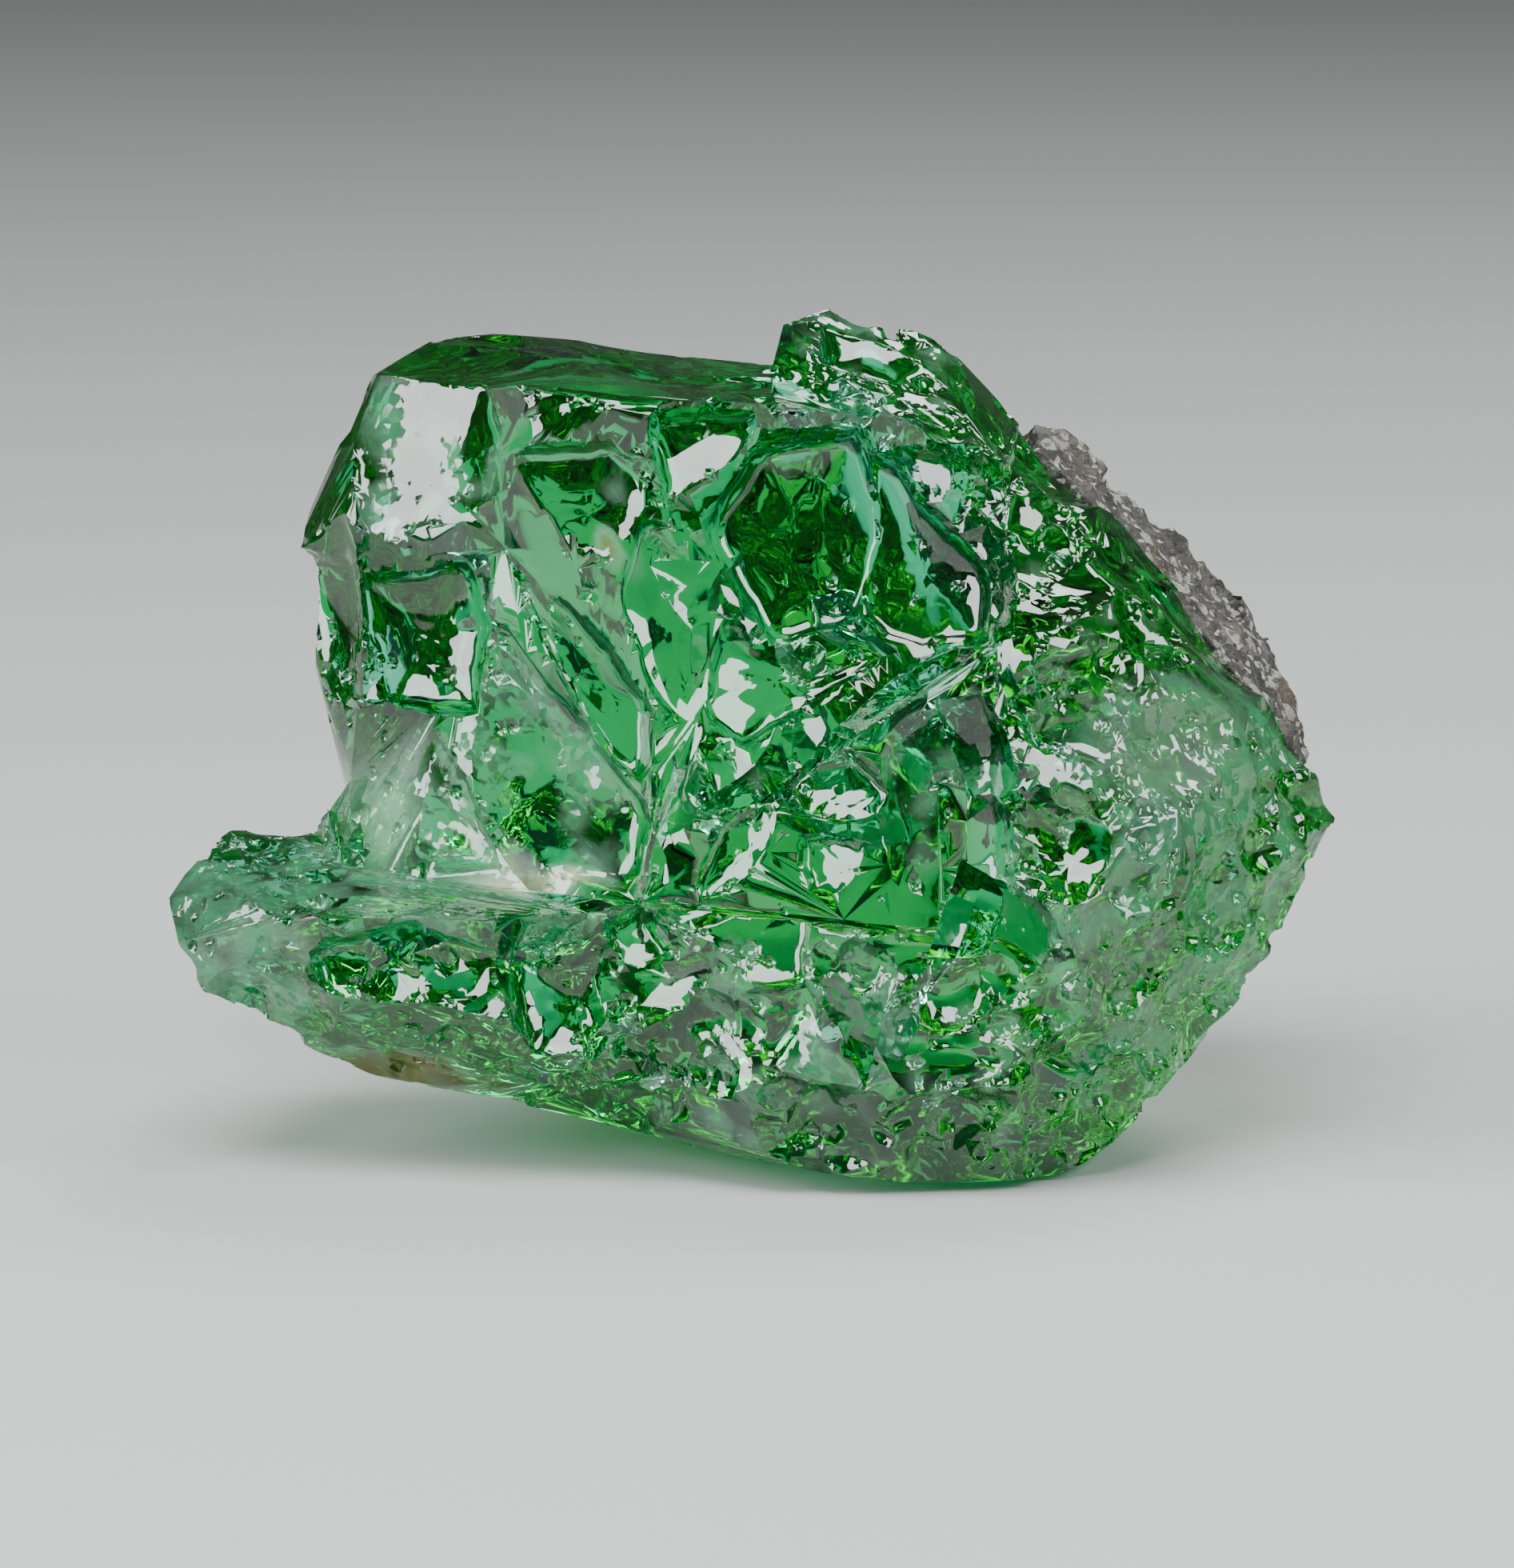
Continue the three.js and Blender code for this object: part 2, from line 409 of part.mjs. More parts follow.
function build() {
  const random = stream(SEED);
  const garnet = new THREE.MeshStandardMaterial({ color: 0x3f9a5c, roughness: 0.1, metalness: 0 });
  const rock = new THREE.MeshStandardMaterial({ color: 0x6f675c, roughness: 0.9, metalness: 0 });
  const group = new THREE.Group();
  group.name = "tsavorite_crystal_specimen";
  group.add(named(makeCrystal(random), "tsavorite_crystal", garnet));
  group.add(named(makeHostRock(random), "matrix_rock", rock));
  centreInPlan(group);
  return group;
}

export default build();
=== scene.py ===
# %% [markdown]
# # A rough tsavorite crystal
# Tsavorite is the green, clear kind of grossular garnet. This piece was broken out of its rock: it has no
# grown crystal faces left, only fresh shell-shaped breaks that shine like glass, a frosted shoulder full of
# small chips, a ledge, and a crust of dark host rock behind the upper right edge. The lesson builds two
# pieces, the crystal and the rock, then their materials and the light.

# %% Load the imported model
import math

import bmesh
import bpy
import numpy as np
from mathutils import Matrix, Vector
from mathutils import noise as solid_noise
from mathutils.bvhtree import BVHTree


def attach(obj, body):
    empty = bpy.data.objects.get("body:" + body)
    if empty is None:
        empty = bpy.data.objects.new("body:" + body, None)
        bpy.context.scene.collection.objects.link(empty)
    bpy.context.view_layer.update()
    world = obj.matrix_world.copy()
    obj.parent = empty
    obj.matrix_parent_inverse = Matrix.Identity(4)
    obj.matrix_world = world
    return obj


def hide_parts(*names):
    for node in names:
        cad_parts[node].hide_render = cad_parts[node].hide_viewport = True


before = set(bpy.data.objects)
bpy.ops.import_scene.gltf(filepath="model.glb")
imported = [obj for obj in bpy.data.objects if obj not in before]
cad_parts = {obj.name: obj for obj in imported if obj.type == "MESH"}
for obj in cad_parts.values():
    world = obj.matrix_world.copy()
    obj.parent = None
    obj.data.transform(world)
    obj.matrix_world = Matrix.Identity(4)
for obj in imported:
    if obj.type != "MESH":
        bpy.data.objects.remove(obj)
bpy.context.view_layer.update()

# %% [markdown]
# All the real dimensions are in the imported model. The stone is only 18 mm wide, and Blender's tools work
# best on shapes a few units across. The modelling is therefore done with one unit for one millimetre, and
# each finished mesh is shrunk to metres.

MM = 0.001

# %% [markdown]
# Every operator acts on what is selected, so a piece is made the only selected and active object before it
# is worked on. A modifier is always applied at once, which leaves a plain mesh for the next step.


# %% Helpers for selecting and for modifiers
def only(piece):
    bpy.ops.object.select_all(action="DESELECT")
    piece.select_set(True)
    bpy.context.view_layer.objects.active = piece


def apply_modifier(piece, kind, **settings):
    only(piece)
    modifier = piece.modifiers.new(kind.title(), kind)
    for key, value in settings.items():
        setattr(modifier, key, value)
    bpy.ops.object.modifier_apply(modifier=modifier.name)


def resize_mesh(piece, factor):
    only(piece)
    bpy.ops.object.mode_set(mode="EDIT")
    bpy.ops.mesh.select_all(action="SELECT")
    bpy.ops.transform.resize(value=(factor, factor, factor), center_override=(0, 0, 0))
    bpy.ops.object.mode_set(mode="OBJECT")


# %% [markdown]
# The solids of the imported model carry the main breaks, but they are coarse: each shell-shaped break is a
# fan of a few triangles. A copy is taken, its loose triangles are merged, and its real ridges are creased.
# One round of subdivision then turns the fans into smooth hollows and keeps the ridges sharp. Half of the
# new triangles lie in flat places, where they would only make the later cuts heavy, so they are collapsed.

# %% Copy the solids and smooth their fans
MERGE_DISTANCE = 0.002
RIDGE_DEGREES = 24
SHARE_OF_TRIANGLES_KEPT = 0.5


def copy_in_millimetres(node, name):
    piece = bpy.data.objects.new(name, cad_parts[node].data.copy())
    bpy.context.collection.objects.link(piece)
    resize_mesh(piece, 1 / MM)
    bpy.ops.object.mode_set(mode="EDIT")
    bpy.ops.mesh.select_all(action="SELECT")
    bpy.ops.mesh.remove_doubles(threshold=MERGE_DISTANCE)
    bpy.ops.object.mode_set(mode="OBJECT")
    return piece


def smooth_between_ridges(piece, levels):
    only(piece)
    bpy.ops.object.mode_set(mode="EDIT")
    bpy.ops.mesh.select_mode(type="EDGE")
    bpy.ops.mesh.select_all(action="DESELECT")
    bpy.ops.mesh.edges_select_sharp(sharpness=math.radians(RIDGE_DEGREES))
    bpy.ops.transform.edge_crease(value=1.0)
    bpy.ops.object.mode_set(mode="OBJECT")
    apply_modifier(piece, "SUBSURF", levels=levels, render_levels=levels)


crystal = copy_in_millimetres("tsavorite_crystal", "crystal_body")
smooth_between_ridges(crystal, levels=1)
apply_modifier(crystal, "DECIMATE", ratio=SHARE_OF_TRIANGLES_KEPT)
print("crystal faces before the cuts:", len(crystal.data.polygons))

# %% [markdown]
# The camera comes early, because breaks and stains are placed by their pixel in the photograph. A long lens
# looks down by ten degrees from 140 mm away. A ray through the pixel finds the spot on the stone.

# %% Camera
IMAGE_SIZE = (1893, 1960)
SENSOR_WIDTH = 36
CAMERA_DISTANCE = 140.0
CAMERA_TILT = math.radians(10)
PIXELS_PER_MM = 81.95
AIM = Vector((0.052, -0.374, 5.5))
BACK = Vector((0, -math.cos(CAMERA_TILT), math.sin(CAMERA_TILT)))
RIGHT = Vector((1, 0, 0))
UP = BACK.cross(RIGHT)
EYE = AIM + BACK * CAMERA_DISTANCE

camera_data = bpy.data.cameras.new("photo_camera")
camera_data.sensor_width = SENSOR_WIDTH
camera_data.lens = PIXELS_PER_MM * CAMERA_DISTANCE * SENSOR_WIDTH / IMAGE_SIZE[1]
camera_data.clip_start = 0.01
camera = bpy.data.objects.new("photo_camera", camera_data)
bpy.context.collection.objects.link(camera)
camera.location = EYE * MM
camera.rotation_euler = (math.pi / 2 - CAMERA_TILT, 0, 0)
bpy.context.scene.camera = camera
print("lens, mm:", round(camera_data.lens, 1))


# %% Find the spot on the stone that a pixel shows
def pixel_ray(x, y):
    across = (x - IMAGE_SIZE[0] / 2) / PIXELS_PER_MM
    above = (IMAGE_SIZE[1] / 2 - y) / PIXELS_PER_MM
    return (AIM + RIGHT * across + UP * above - EYE).normalized()


def spot_at_pixel(tree, x, y):
    place, normal, _, _ = tree.ray_cast(EYE, pixel_ray(x, y))
    return place, normal


# A boolean returns its faces in another order on each run. The tree gets them sorted by place, because a
# spot that is equally near to two faces takes the first one, and every run has to choose the same.
def tree_of(piece):
    corners = [tuple(vertex.co) for vertex in piece.data.vertices]
    faces = []
    for face in piece.data.polygons:
        loop = list(face.vertices)
        start = loop.index(min(loop, key=corners.__getitem__))
        faces.append(loop[start:] + loop[:start])
    faces.sort(key=lambda loop: [corners[number] for number in loop])
    return BVHTree.FromPolygons(corners, faces)


# %% [markdown]
# A blow on glassy mineral takes off a shell and leaves a shallow dish, often with ripples in rings around
# the struck point. The cutter for such a break starts as a sphere, of which only the lower cap is kept. Its
# points are stored as a reach from the centre and an angle. Every later break is a copy of this cap, shaped
# to its own outline, so the cap is made once in a few sizes of mesh.

# %% Make the caps
# The sphere is cut half way down, where its radius is the sine of 60 degrees. A reach of 1 is the outline
# of the break, and the cap goes on to 1.3, so that its rim stands clear of the stone.
CUT_HEIGHT = -0.5
CUT_RADIUS = math.sin(math.radians(60))
CAP_REACH = 1.3


def sphere_mesh(segments, rings, cut_height=None):
    bpy.ops.object.select_all(action="DESELECT")
    bpy.ops.mesh.primitive_uv_sphere_add(segments=segments, ring_count=rings, radius=1)
    sphere = bpy.context.object
    bpy.ops.object.mode_set(mode="EDIT")
    bpy.ops.mesh.select_all(action="SELECT")
    if cut_height is not None:
        plane = {"plane_co": (0, 0, cut_height), "plane_no": (0, 0, 1)}
        bpy.ops.mesh.bisect(**plane, use_fill=True, clear_outer=True)
        bpy.ops.mesh.select_all(action="SELECT")
        bpy.ops.mesh.normals_make_consistent(inside=False)
    bpy.ops.mesh.quads_convert_to_tris()
    bpy.ops.object.mode_set(mode="OBJECT")
    points = np.array([vertex.co for vertex in sphere.data.vertices])
    faces = np.array([tuple(face.vertices) for face in sphere.data.polygons])
    bpy.data.objects.remove(sphere)
    return points, faces


def make_cap(segments, rings):
    points, faces = sphere_mesh(segments, rings * 3, CUT_HEIGHT)
    reach = np.hypot(points[:, 0], points[:, 1]) * CAP_REACH / CUT_RADIUS
    angle = np.arctan2(points[:, 1], points[:, 0])
    return reach, angle, faces


CAPS = {
    "fine": make_cap(36, 10),
    "rippled": make_cap(40, 15),
    "medium": make_cap(18, 5),
    "small": make_cap(9, 3),
}
print("cap faces:", {name: len(faces) for name, (_, _, faces) in CAPS.items()})

# %% [markdown]
# One boolean difference takes many cutters at once, as long as no two of them overlap. The cutters are
# therefore shared out over a few meshes, each time in the first one that has room. Each face of a cutter
# carries a number for its finish, from -1 for a glassy break to 1 for a frosted one, and the boolean hands
# it on to the new surface, where the material reads it.


# %% Cut a list of breaks from a piece
def set_finish(mesh, values):
    if "finish" not in mesh.attributes:
        mesh.attributes.new("finish", "FLOAT", "FACE")
    of_faces = np.broadcast_to(values, len(mesh.polygons)).astype("f")
    mesh.attributes["finish"].data.foreach_set("value", of_faces)


def share_out(breaks):
    batches = []
    for points, faces, finish in breaks:
        middle = points.mean(axis=0)
        reach = np.linalg.norm(points - middle, axis=1).max()
        item = {"points": points, "faces": faces, "finish": finish, "middle": middle, "reach": reach}
        for batch in batches:
            if all(np.linalg.norm(middle - other["middle"]) > reach + other["reach"] for other in batch):
                batch.append(item)
                break
        else:
            batches.append([item])
    return batches


def cut_breaks(piece, breaks):
    batches = share_out(breaks)
    for batch in batches:
        starts = np.cumsum([0] + [len(item["points"]) for item in batch])
        corners = np.concatenate([item["points"] for item in batch])
        faces = np.concatenate([item["faces"] + start for item, start in zip(batch, starts)])
        mesh = bpy.data.meshes.new("cutter")
        mesh.from_pydata(corners.tolist(), [], faces.tolist())
        set_finish(mesh, np.concatenate([np.full(len(item["faces"]), item["finish"]) for item in batch]))
        cutter = bpy.data.objects.new("cutter", mesh)
        bpy.context.collection.objects.link(cutter)
        apply_modifier(piece, "BOOLEAN", operation="DIFFERENCE", solver="MANIFOLD", object=cutter)
        bpy.data.objects.remove(cutter)
    print(len(breaks), "breaks in", len(batches), "cuts:", len(piece.data.polygons), "faces")


# %% [markdown]
# The breaks that are seen one by one are given by the pixels around them. The outline is laid on a plane
# through the stone that faces a chosen way, the cap is stretched to fill it, and its lip is pulled toward
# the camera, which clears what stands in front. The facing decides what a break mirrors: some of them have
# to throw the light of a soft box at the camera, and they show white in the photograph.


# %% Lay an outline from the photograph on a plane
def outline_on_plane(pixels, place, facing, turn):
    corners = []
    for x, y in pixels:
        ray = pixel_ray(x, y)
        hit = EYE + ray * ((place - EYE).dot(facing) / ray.dot(facing))
        corners.append((np.array(hit - place) @ turn)[:2])
    corners = np.array(corners)
    return corners if np.cross(corners[0], corners[1]) > 0 else corners[::-1]


def outline_reach(corners, angles):
    ahead = np.roll(corners, -1, axis=0) - corners
    reaches = np.full(len(angles), np.inf)
    for start, side in zip(corners, ahead):
        heading = np.stack([np.cos(angles), np.sin(angles)], axis=1)
        cross = heading[:, 0] * side[1] - heading[:, 1] * side[0]
        cross = np.where(np.abs(cross) < 1e-9, 1e-9, cross)
        distance = (start[0] * side[1] - start[1] * side[0]) / cross
        along = (start[0] * heading[:, 1] - start[1] * heading[:, 0]) / cross
        hit = (distance > 0) & (along >= -1e-6) & (along <= 1 + 1e-6)
        reaches = np.where(hit, np.minimum(reaches, distance), reaches)
    return reaches


# The corners of an outline are rounded over a few steps of its table, and two waves make its sides uneven.
TABLE_STEPS = 240
ROUNDING_STEPS = 3


def width_of_outline(corners, angle, wave_start, fine_wave_start):
    table = np.linspace(-math.pi, math.pi, TABLE_STEPS + 1)
    headings = table[:-1]
    edge = outline_reach(corners, headings)
    edge = np.minimum(edge, np.median(edge) * 3)
    edge = (np.roll(edge, ROUNDING_STEPS) + np.roll(edge, -ROUNDING_STEPS) + edge * 2) / 4
    wave = 0.03 * np.sin(5 * headings + wave_start)
    fine_wave = 0.02 * np.sin(11 * headings + fine_wave_start)
    edge = edge * (1 + wave + fine_wave)
    return np.interp(angle, table, np.append(edge, edge[0]))


# %% Shape a cap to its outline
# Outside the outline the cap first widens and rises as a short lip, and then runs straight to the camera.
LIP_WIDTH = 1.2
LIP_RISE = 2
LIP_REACH = 0.1
RUN_TO_CAMERA = 12


def pixel_break(tree, cap, pixels, facing, depth, sink, finish, ripple, waves, blow):
    facing = Vector(facing).normalized()
    centre_x, centre_y = np.mean(pixels, axis=0)
    place, _ = spot_at_pixel(tree, centre_x, centre_y)
    place = place - facing * sink
    turn = np.array(facing.to_track_quat("Z", "Y").to_matrix())
    corners = outline_on_plane(pixels, place, facing, turn)
    reach, angle, faces = CAPS[cap]
    inner = np.minimum(reach, 1)
    outer = reach - inner
    across = width_of_outline(corners, angle, centre_x, centre_y) * inner + outer * LIP_WIDTH
    x, y = across * np.cos(angle), across * np.sin(angle)
    struck = corners[blow % len(corners)]
    from_blow = np.hypot(x - struck[0], y - struck[1])
    wave = np.sin(from_blow * waves * math.tau + 0.5 * np.sin(3 * angle + from_blow))
    wave = wave * np.clip(1 + LIP_REACH - reach, 0, 1)
    z = depth * (inner**2 - 1) + ripple * wave + np.minimum(outer, LIP_REACH) * LIP_RISE
    points = np.stack([x, y, z], axis=1) @ turn.T + np.array(place)
    points += np.maximum(outer - LIP_REACH, 0)[:, None] * RUN_TO_CAMERA * np.array(BACK)
    return points, faces, finish


# %% Facings toward the soft boxes
# A break mirrors a soft box to the camera when it faces half way between the two.
LEFT_BOX = Vector((-0.84, -0.37, 0.38))
TOP_BOX = Vector((-0.10, -0.50, 0.86))
RIGHT_BOX = Vector((0.75, -0.42, 0.50))
TO_LEFT_BOX = (LEFT_BOX.normalized() + BACK).normalized()
TO_TOP_BOX = (TOP_BOX.normalized() + BACK).normalized()
TO_RIGHT_BOX = (RIGHT_BOX.normalized() + BACK).normalized()

# %% The breaks of the front
# Each has a cap, an outline in pixels, a facing, depth and sink in mm, a finish, the height of its ripples
# in mm, the ripples per mm, and the corner of the outline where the blow fell.
FRONT_BREAKS = {
    "upper left wall": (
        "rippled", [(478, 468), (545, 462), (615, 478), (640, 700), (560, 715), (448, 722), (450, 560)],
        (-0.52, -0.78, 0.38), 0.24, 0.10, 0.6, 0.006, 4.0, 2),
    "dark hollow under the left wall": (
        "rippled", [(462, 722), (588, 712), (600, 790), (592, 880), (500, 880), (468, 800)],
        (-0.10, -0.97, 0.20), 0.28, 0.10, -1.0, 0.012, 3.2, 1),
    "left rim": (
        "fine", [(372, 690), (448, 708), (452, 800), (440, 895), (398, 855)],
        (-0.75, -0.62, 0.10), 0.14, 0.06, -0.6, 0, 0, 0),
    "round break left of the window": (
        "rippled", [(642, 575), (760, 562), (812, 605), (800, 690), (722, 722), (652, 690)],
        (-0.22, -0.92, 0.30), 0.12, 0.06, 0.0, 0.012, 2.0, 1),
    "pale blade at the top of the window": (
        "fine", [(822, 532), (950, 528), (905, 592), (842, 648)],
        TO_TOP_BOX, 0.03, 0.20, -0.4, 0, 0, 0),
    "long slope beside the window": (
        "rippled", [(620, 700), (712, 762), (800, 880), (802, 1000), (700, 868)],
        (0.12, -0.96, 0.22), 0.14, 0.05, -0.8, 0.010, 2.2, 0),
    "left part of the window": (
        "rippled", [(800, 655), (885, 690), (905, 800), (870, 930), (815, 862), (775, 745)],
        (0.22, -0.95, 0.20), 0.12, 0.08, -1.0, 0.007, 2.4, 3),
    "middle of the window": (
        "rippled", [(890, 655), (965, 562), (1060, 548), (1100, 640), (1075, 770), (960, 800)],
        (0.08, -0.97, 0.20), 0.16, 0.10, -1.0, 0.006, 2.2, 5),
    "right part of the window": (
        "rippled", [(1100, 560), (1150, 640), (1232, 720), (1225, 790), (1150, 812), (1075, 770)],
        (-0.18, -0.95, 0.22), 0.16, 0.10, -1.0, 0.009, 3.0, 2),
    "foot of the window": (
        "rippled", [(900, 800), (1010, 780), (1120, 812), (1010, 880), (930, 930), (880, 890)],
        (0.30, -0.90, 0.30), 0.12, 0.08, -1.0, 0.008, 2.8, 1),
    "left half of the white mirror": (
        "fine", [(1130, 570), (1190, 585), (1205, 655), (1150, 640)],
        TO_LEFT_BOX, 0.02, 0.14, -0.8, 0, 0, 0),
    "right half of the white mirror": (
        "fine", [(1190, 585), (1255, 612), (1246, 690), (1205, 655)],
        TO_TOP_BOX, 0.02, 0.14, -0.8, 0, 0, 0),
    "white shell right of the window": (
        "rippled",
        [(1195, 760), (1235, 705), (1325, 662), (1395, 700), (1370, 770), (1280, 795), (1215, 805)],
        TO_TOP_BOX, 0.16, 0.06, -0.8, 0.010, 3.4, 4),
    "small break above the white shell": (
        "fine", [(1270, 600), (1345, 640), (1350, 700), (1260, 665)],
        TO_RIGHT_BOX, 0.04, 0.06, -0.5, 0, 0, 0),
    "frosted blade above the ledge": (
        "rippled", [(600, 745), (690, 860), (800, 1005), (800, 1110), (640, 1080), (560, 930)],
        (-0.20, -0.96, 0.20), 0.16, 0.04, 0.2, 0.014, 1.7, 0),
    "frosted corner behind the ledge": (
        "fine", [(500, 890), (560, 935), (630, 1080), (530, 1070), (480, 1000)],
        (-0.30, -0.93, 0.20), 0.12, 0.05, 0.6, 0, 0, 0),
    "tall break before the shoulder": (
        "rippled",
        [(1105, 930), (1180, 880), (1236, 868), (1240, 1060), (1232, 1178), (1120, 1160), (1100, 1050)],
        (-0.06, -0.97, 0.22), 0.12, 0.05, 0.4, 0.011, 1.8, 0),
    "left white shell of the middle": (
        "rippled", [(868, 1132), (905, 1040), (965, 985), (990, 1035), (935, 1110)],
        TO_LEFT_BOX, 0.10, 0.06, -0.8, 0.009, 3.4, 1),
    "upper white shell of the middle": (
        "rippled", [(985, 975), (1060, 952), (1108, 990), (1092, 1042), (1015, 1040)],
        TO_TOP_BOX, 0.09, 0.06, -0.8, 0.008, 3.4, 1),
    "lower white shell of the middle": (
        "rippled", [(1012, 1052), (1095, 1050), (1088, 1122), (1020, 1112)],
        TO_LEFT_BOX, 0.06, 0.05, -0.8, 0.007, 3.4, 0),
    "left strip under the white shells": (
        "fine", [(832, 1150), (930, 1140), (1005, 1150), (1000, 1228), (850, 1240)],
        (0.05, -0.90, 0.42), 0.08, 0.05, -0.5, 0, 0, 0),
    "right strip under the white shells": (
        "fine", [(1015, 1150), (1150, 1165), (1232, 1170), (1230, 1228), (1020, 1232)],
        (0.05, -0.97, 0.22), 0.08, 0.05, -0.8, 0, 0, 0),
    "low left blade": (
        "fine", [(905, 1245), (1012, 1238), (1062, 1390), (1000, 1412), (930, 1335)],
        (-0.35, -0.90, 0.28), 0.08, 0.05, -0.1, 0, 0, 0),
    "low right blade": (
        "fine", [(1030, 1245), (1150, 1262), (1288, 1312), (1200, 1372), (1130, 1398), (1072, 1380)],
        (0.25, -0.94, 0.20), 0.12, 0.05, -0.3, 0, 0, 0),
    "dark pocket under the ledge": (
        "rippled", [(645, 1192), (755, 1188), (765, 1262), (740, 1330), (668, 1320)],
        (-0.12, -0.96, 0.24), 0.28, 0.04, -1.0, 0.014, 2.6, 0),
    "bright chip beside the pocket": (
        "fine", [(765, 1168), (800, 1150), (832, 1190), (802, 1240), (768, 1228)],
        TO_TOP_BOX, 0.06, 0.05, -0.7, 0, 0, 0),
    "front of the ledge": (
        "rippled", [(400, 1185), (520, 1170), (632, 1190), (628, 1258), (520, 1272), (405, 1240)],
        (-0.20, -0.90, 0.38), 0.16, 0.04, -0.5, 0.010, 2.4, 0),
    "lowest shell": (
        "rippled", [(780, 1300), (850, 1260), (915, 1330), (900, 1410), (800, 1390)],
        (-0.25, -0.95, 0.10), 0.20, 0.05, -0.8, 0.012, 3.0, 1),
    "upper dish of the shoulder": (
        "fine", [(1290, 830), (1380, 800), (1430, 870), (1370, 920), (1300, 900)],
        (0.20, -0.90, 0.35), 0.12, 0.04, 0.0, 0, 0, 0),
    "right dish of the shoulder": (
        "rippled", [(1395, 930), (1480, 900), (1530, 980), (1470, 1040), (1400, 1010)],
        TO_RIGHT_BOX, 0.08, 0.04, -0.3, 0.008, 3.0, 1),
    "dish at the upper right edge": (
        "fine", [(1400, 720), (1450, 760), (1500, 830), (1440, 830), (1390, 770)],
        TO_RIGHT_BOX, 0.05, 0.04, -0.6, 0, 0, 0),
    "dish of the knob": (
        "fine", [(1030, 400), (1105, 395), (1180, 440), (1120, 480), (1040, 460)],
        TO_TOP_BOX, 0.08, 0.04, -0.3, 0, 0, 0),
}

set_finish(crystal.data, 0.0)
smooth_body = tree_of(crystal)
cut_breaks(crystal, [pixel_break(smooth_body, *values) for values in FRONT_BREAKS.values()])

# %% [markdown]
# Small breaks come in hundreds. They are sown with a seeded generator over the smooth body, by area inside
# a zone or along the ridges, where a brittle edge loses its chips. Each spot then moves to the nearest
# point of the cut surface. Where a break is cut in an earlier one, it leaves the crossed ridges of a real
# fracture.


# %% Sow spots over an area or along the ridges
def body_triangles(piece):
    piece.data.calc_loop_triangles()
    corners = np.empty(len(piece.data.vertices) * 3)
    piece.data.vertices.foreach_get("co", corners)
    triangles = np.empty(len(piece.data.loop_triangles) * 3, dtype=int)
    piece.data.loop_triangles.foreach_get("vertices", triangles)
    return corners.reshape(-1, 3)[triangles.reshape(-1, 3)]


# More spots are drawn than are wanted, because the zone takes only some of them.
SPOTS_DRAWN_ON_AREA = 30
SPOTS_DRAWN_ON_RIDGES = 12


def sow_area(triangles, count, seed, zone):
    generator = np.random.default_rng(seed)
    a, b, c = triangles[:, 0], triangles[:, 1], triangles[:, 2]
    doubled = np.linalg.norm(np.cross(b - a, c - a), axis=1)
    chosen = generator.choice(len(a), size=count * SPOTS_DRAWN_ON_AREA, p=doubled / doubled.sum())
    u, v = generator.random((2, len(chosen), 1))
    u, v = np.where(u + v > 1, 1 - u, u), np.where(u + v > 1, 1 - v, v)
    places = a[chosen] + (b - a)[chosen] * u + (c - a)[chosen] * v
    return places[zone(places)][:count]


def sow_ridges(piece, count, seed, least_degrees, zone):
    generator = np.random.default_rng(seed)
    mesh = bmesh.new()
    mesh.from_mesh(piece.data)
    ridges = []
    for edge in mesh.edges:
        if len(edge.link_faces) == 2 and edge.calc_face_angle_signed() > math.radians(least_degrees):
            ridges.append(sorted(tuple(round(value, 4) for value in corner.co) for corner in edge.verts))
    mesh.free()
    ridges = np.array(sorted(ridges))
    lengths = np.linalg.norm(ridges[:, 1] - ridges[:, 0], axis=1)
    drawn = count * SPOTS_DRAWN_ON_RIDGES
    chosen = ridges[generator.choice(len(ridges), size=drawn, p=lengths / lengths.sum())]
    places = chosen[:, 0] + (chosen[:, 1] - chosen[:, 0]) * generator.random((len(chosen), 1))
    return places[zone(places)][:count]


# %% Shape a break on each spot
# All as shares of the break's own size: its least width, how uneven its outline is, the height of its
# ripples, how many there are, and the lip that carries the cutter clear of the stone.
LEAST_WIDTH = 0.6
UNEVENNESS = 0.12
RIPPLE_HEIGHT = 0.10
RIPPLE_COUNT = 2.2
BOWL_REACH = 1.15
RIM_RISE = 2.2


def sown_breaks(tree, places, seed, cap, radius, flatness, lean, finish):
    generator = np.random.default_rng(seed)
    reach, angle, faces = CAPS[cap]
    breaks = []
    for spot in places:
        size = math.exp(generator.uniform(math.log(radius[0]), math.log(radius[1])))
        depth = size * generator.uniform(*flatness)
        tilt = Vector(generator.uniform(-lean, lean, 3))
        stretch, turn, phase = generator.uniform((LEAST_WIDTH, 0, 0), (1, math.pi, math.tau))
        three, five = generator.uniform(-UNEVENNESS, UNEVENNESS, 2)
        place, normal, _, _ = tree.find_nearest(Vector(spot))
        width = size * (1 + three * np.sin(3 * angle + phase) + five * np.sin(5 * angle - phase))
        x, y = width * reach * np.cos(angle), width * reach * np.sin(angle) * stretch
        from_blow = np.hypot(x + size, y) / size
        wave = RIPPLE_HEIGHT * np.sin(from_blow * RIPPLE_COUNT * math.tau) * np.clip(1.1 - reach, 0, 1)
        rim = np.maximum(reach - 1, 0) * size * RIM_RISE
        z = depth * (np.minimum(reach, BOWL_REACH)**2 - 1 + wave) + rim
        across = x * math.cos(turn) - y * math.sin(turn)
        along = x * math.sin(turn) + y * math.cos(turn)
        towards = np.array((normal + tilt).normalized().to_track_quat("Z", "Y").to_matrix())
        points = np.stack([across, along, z], axis=1) @ towards.T + np.array(place)
        breaks.append((points, faces, generator.uniform(*finish)))
    return breaks


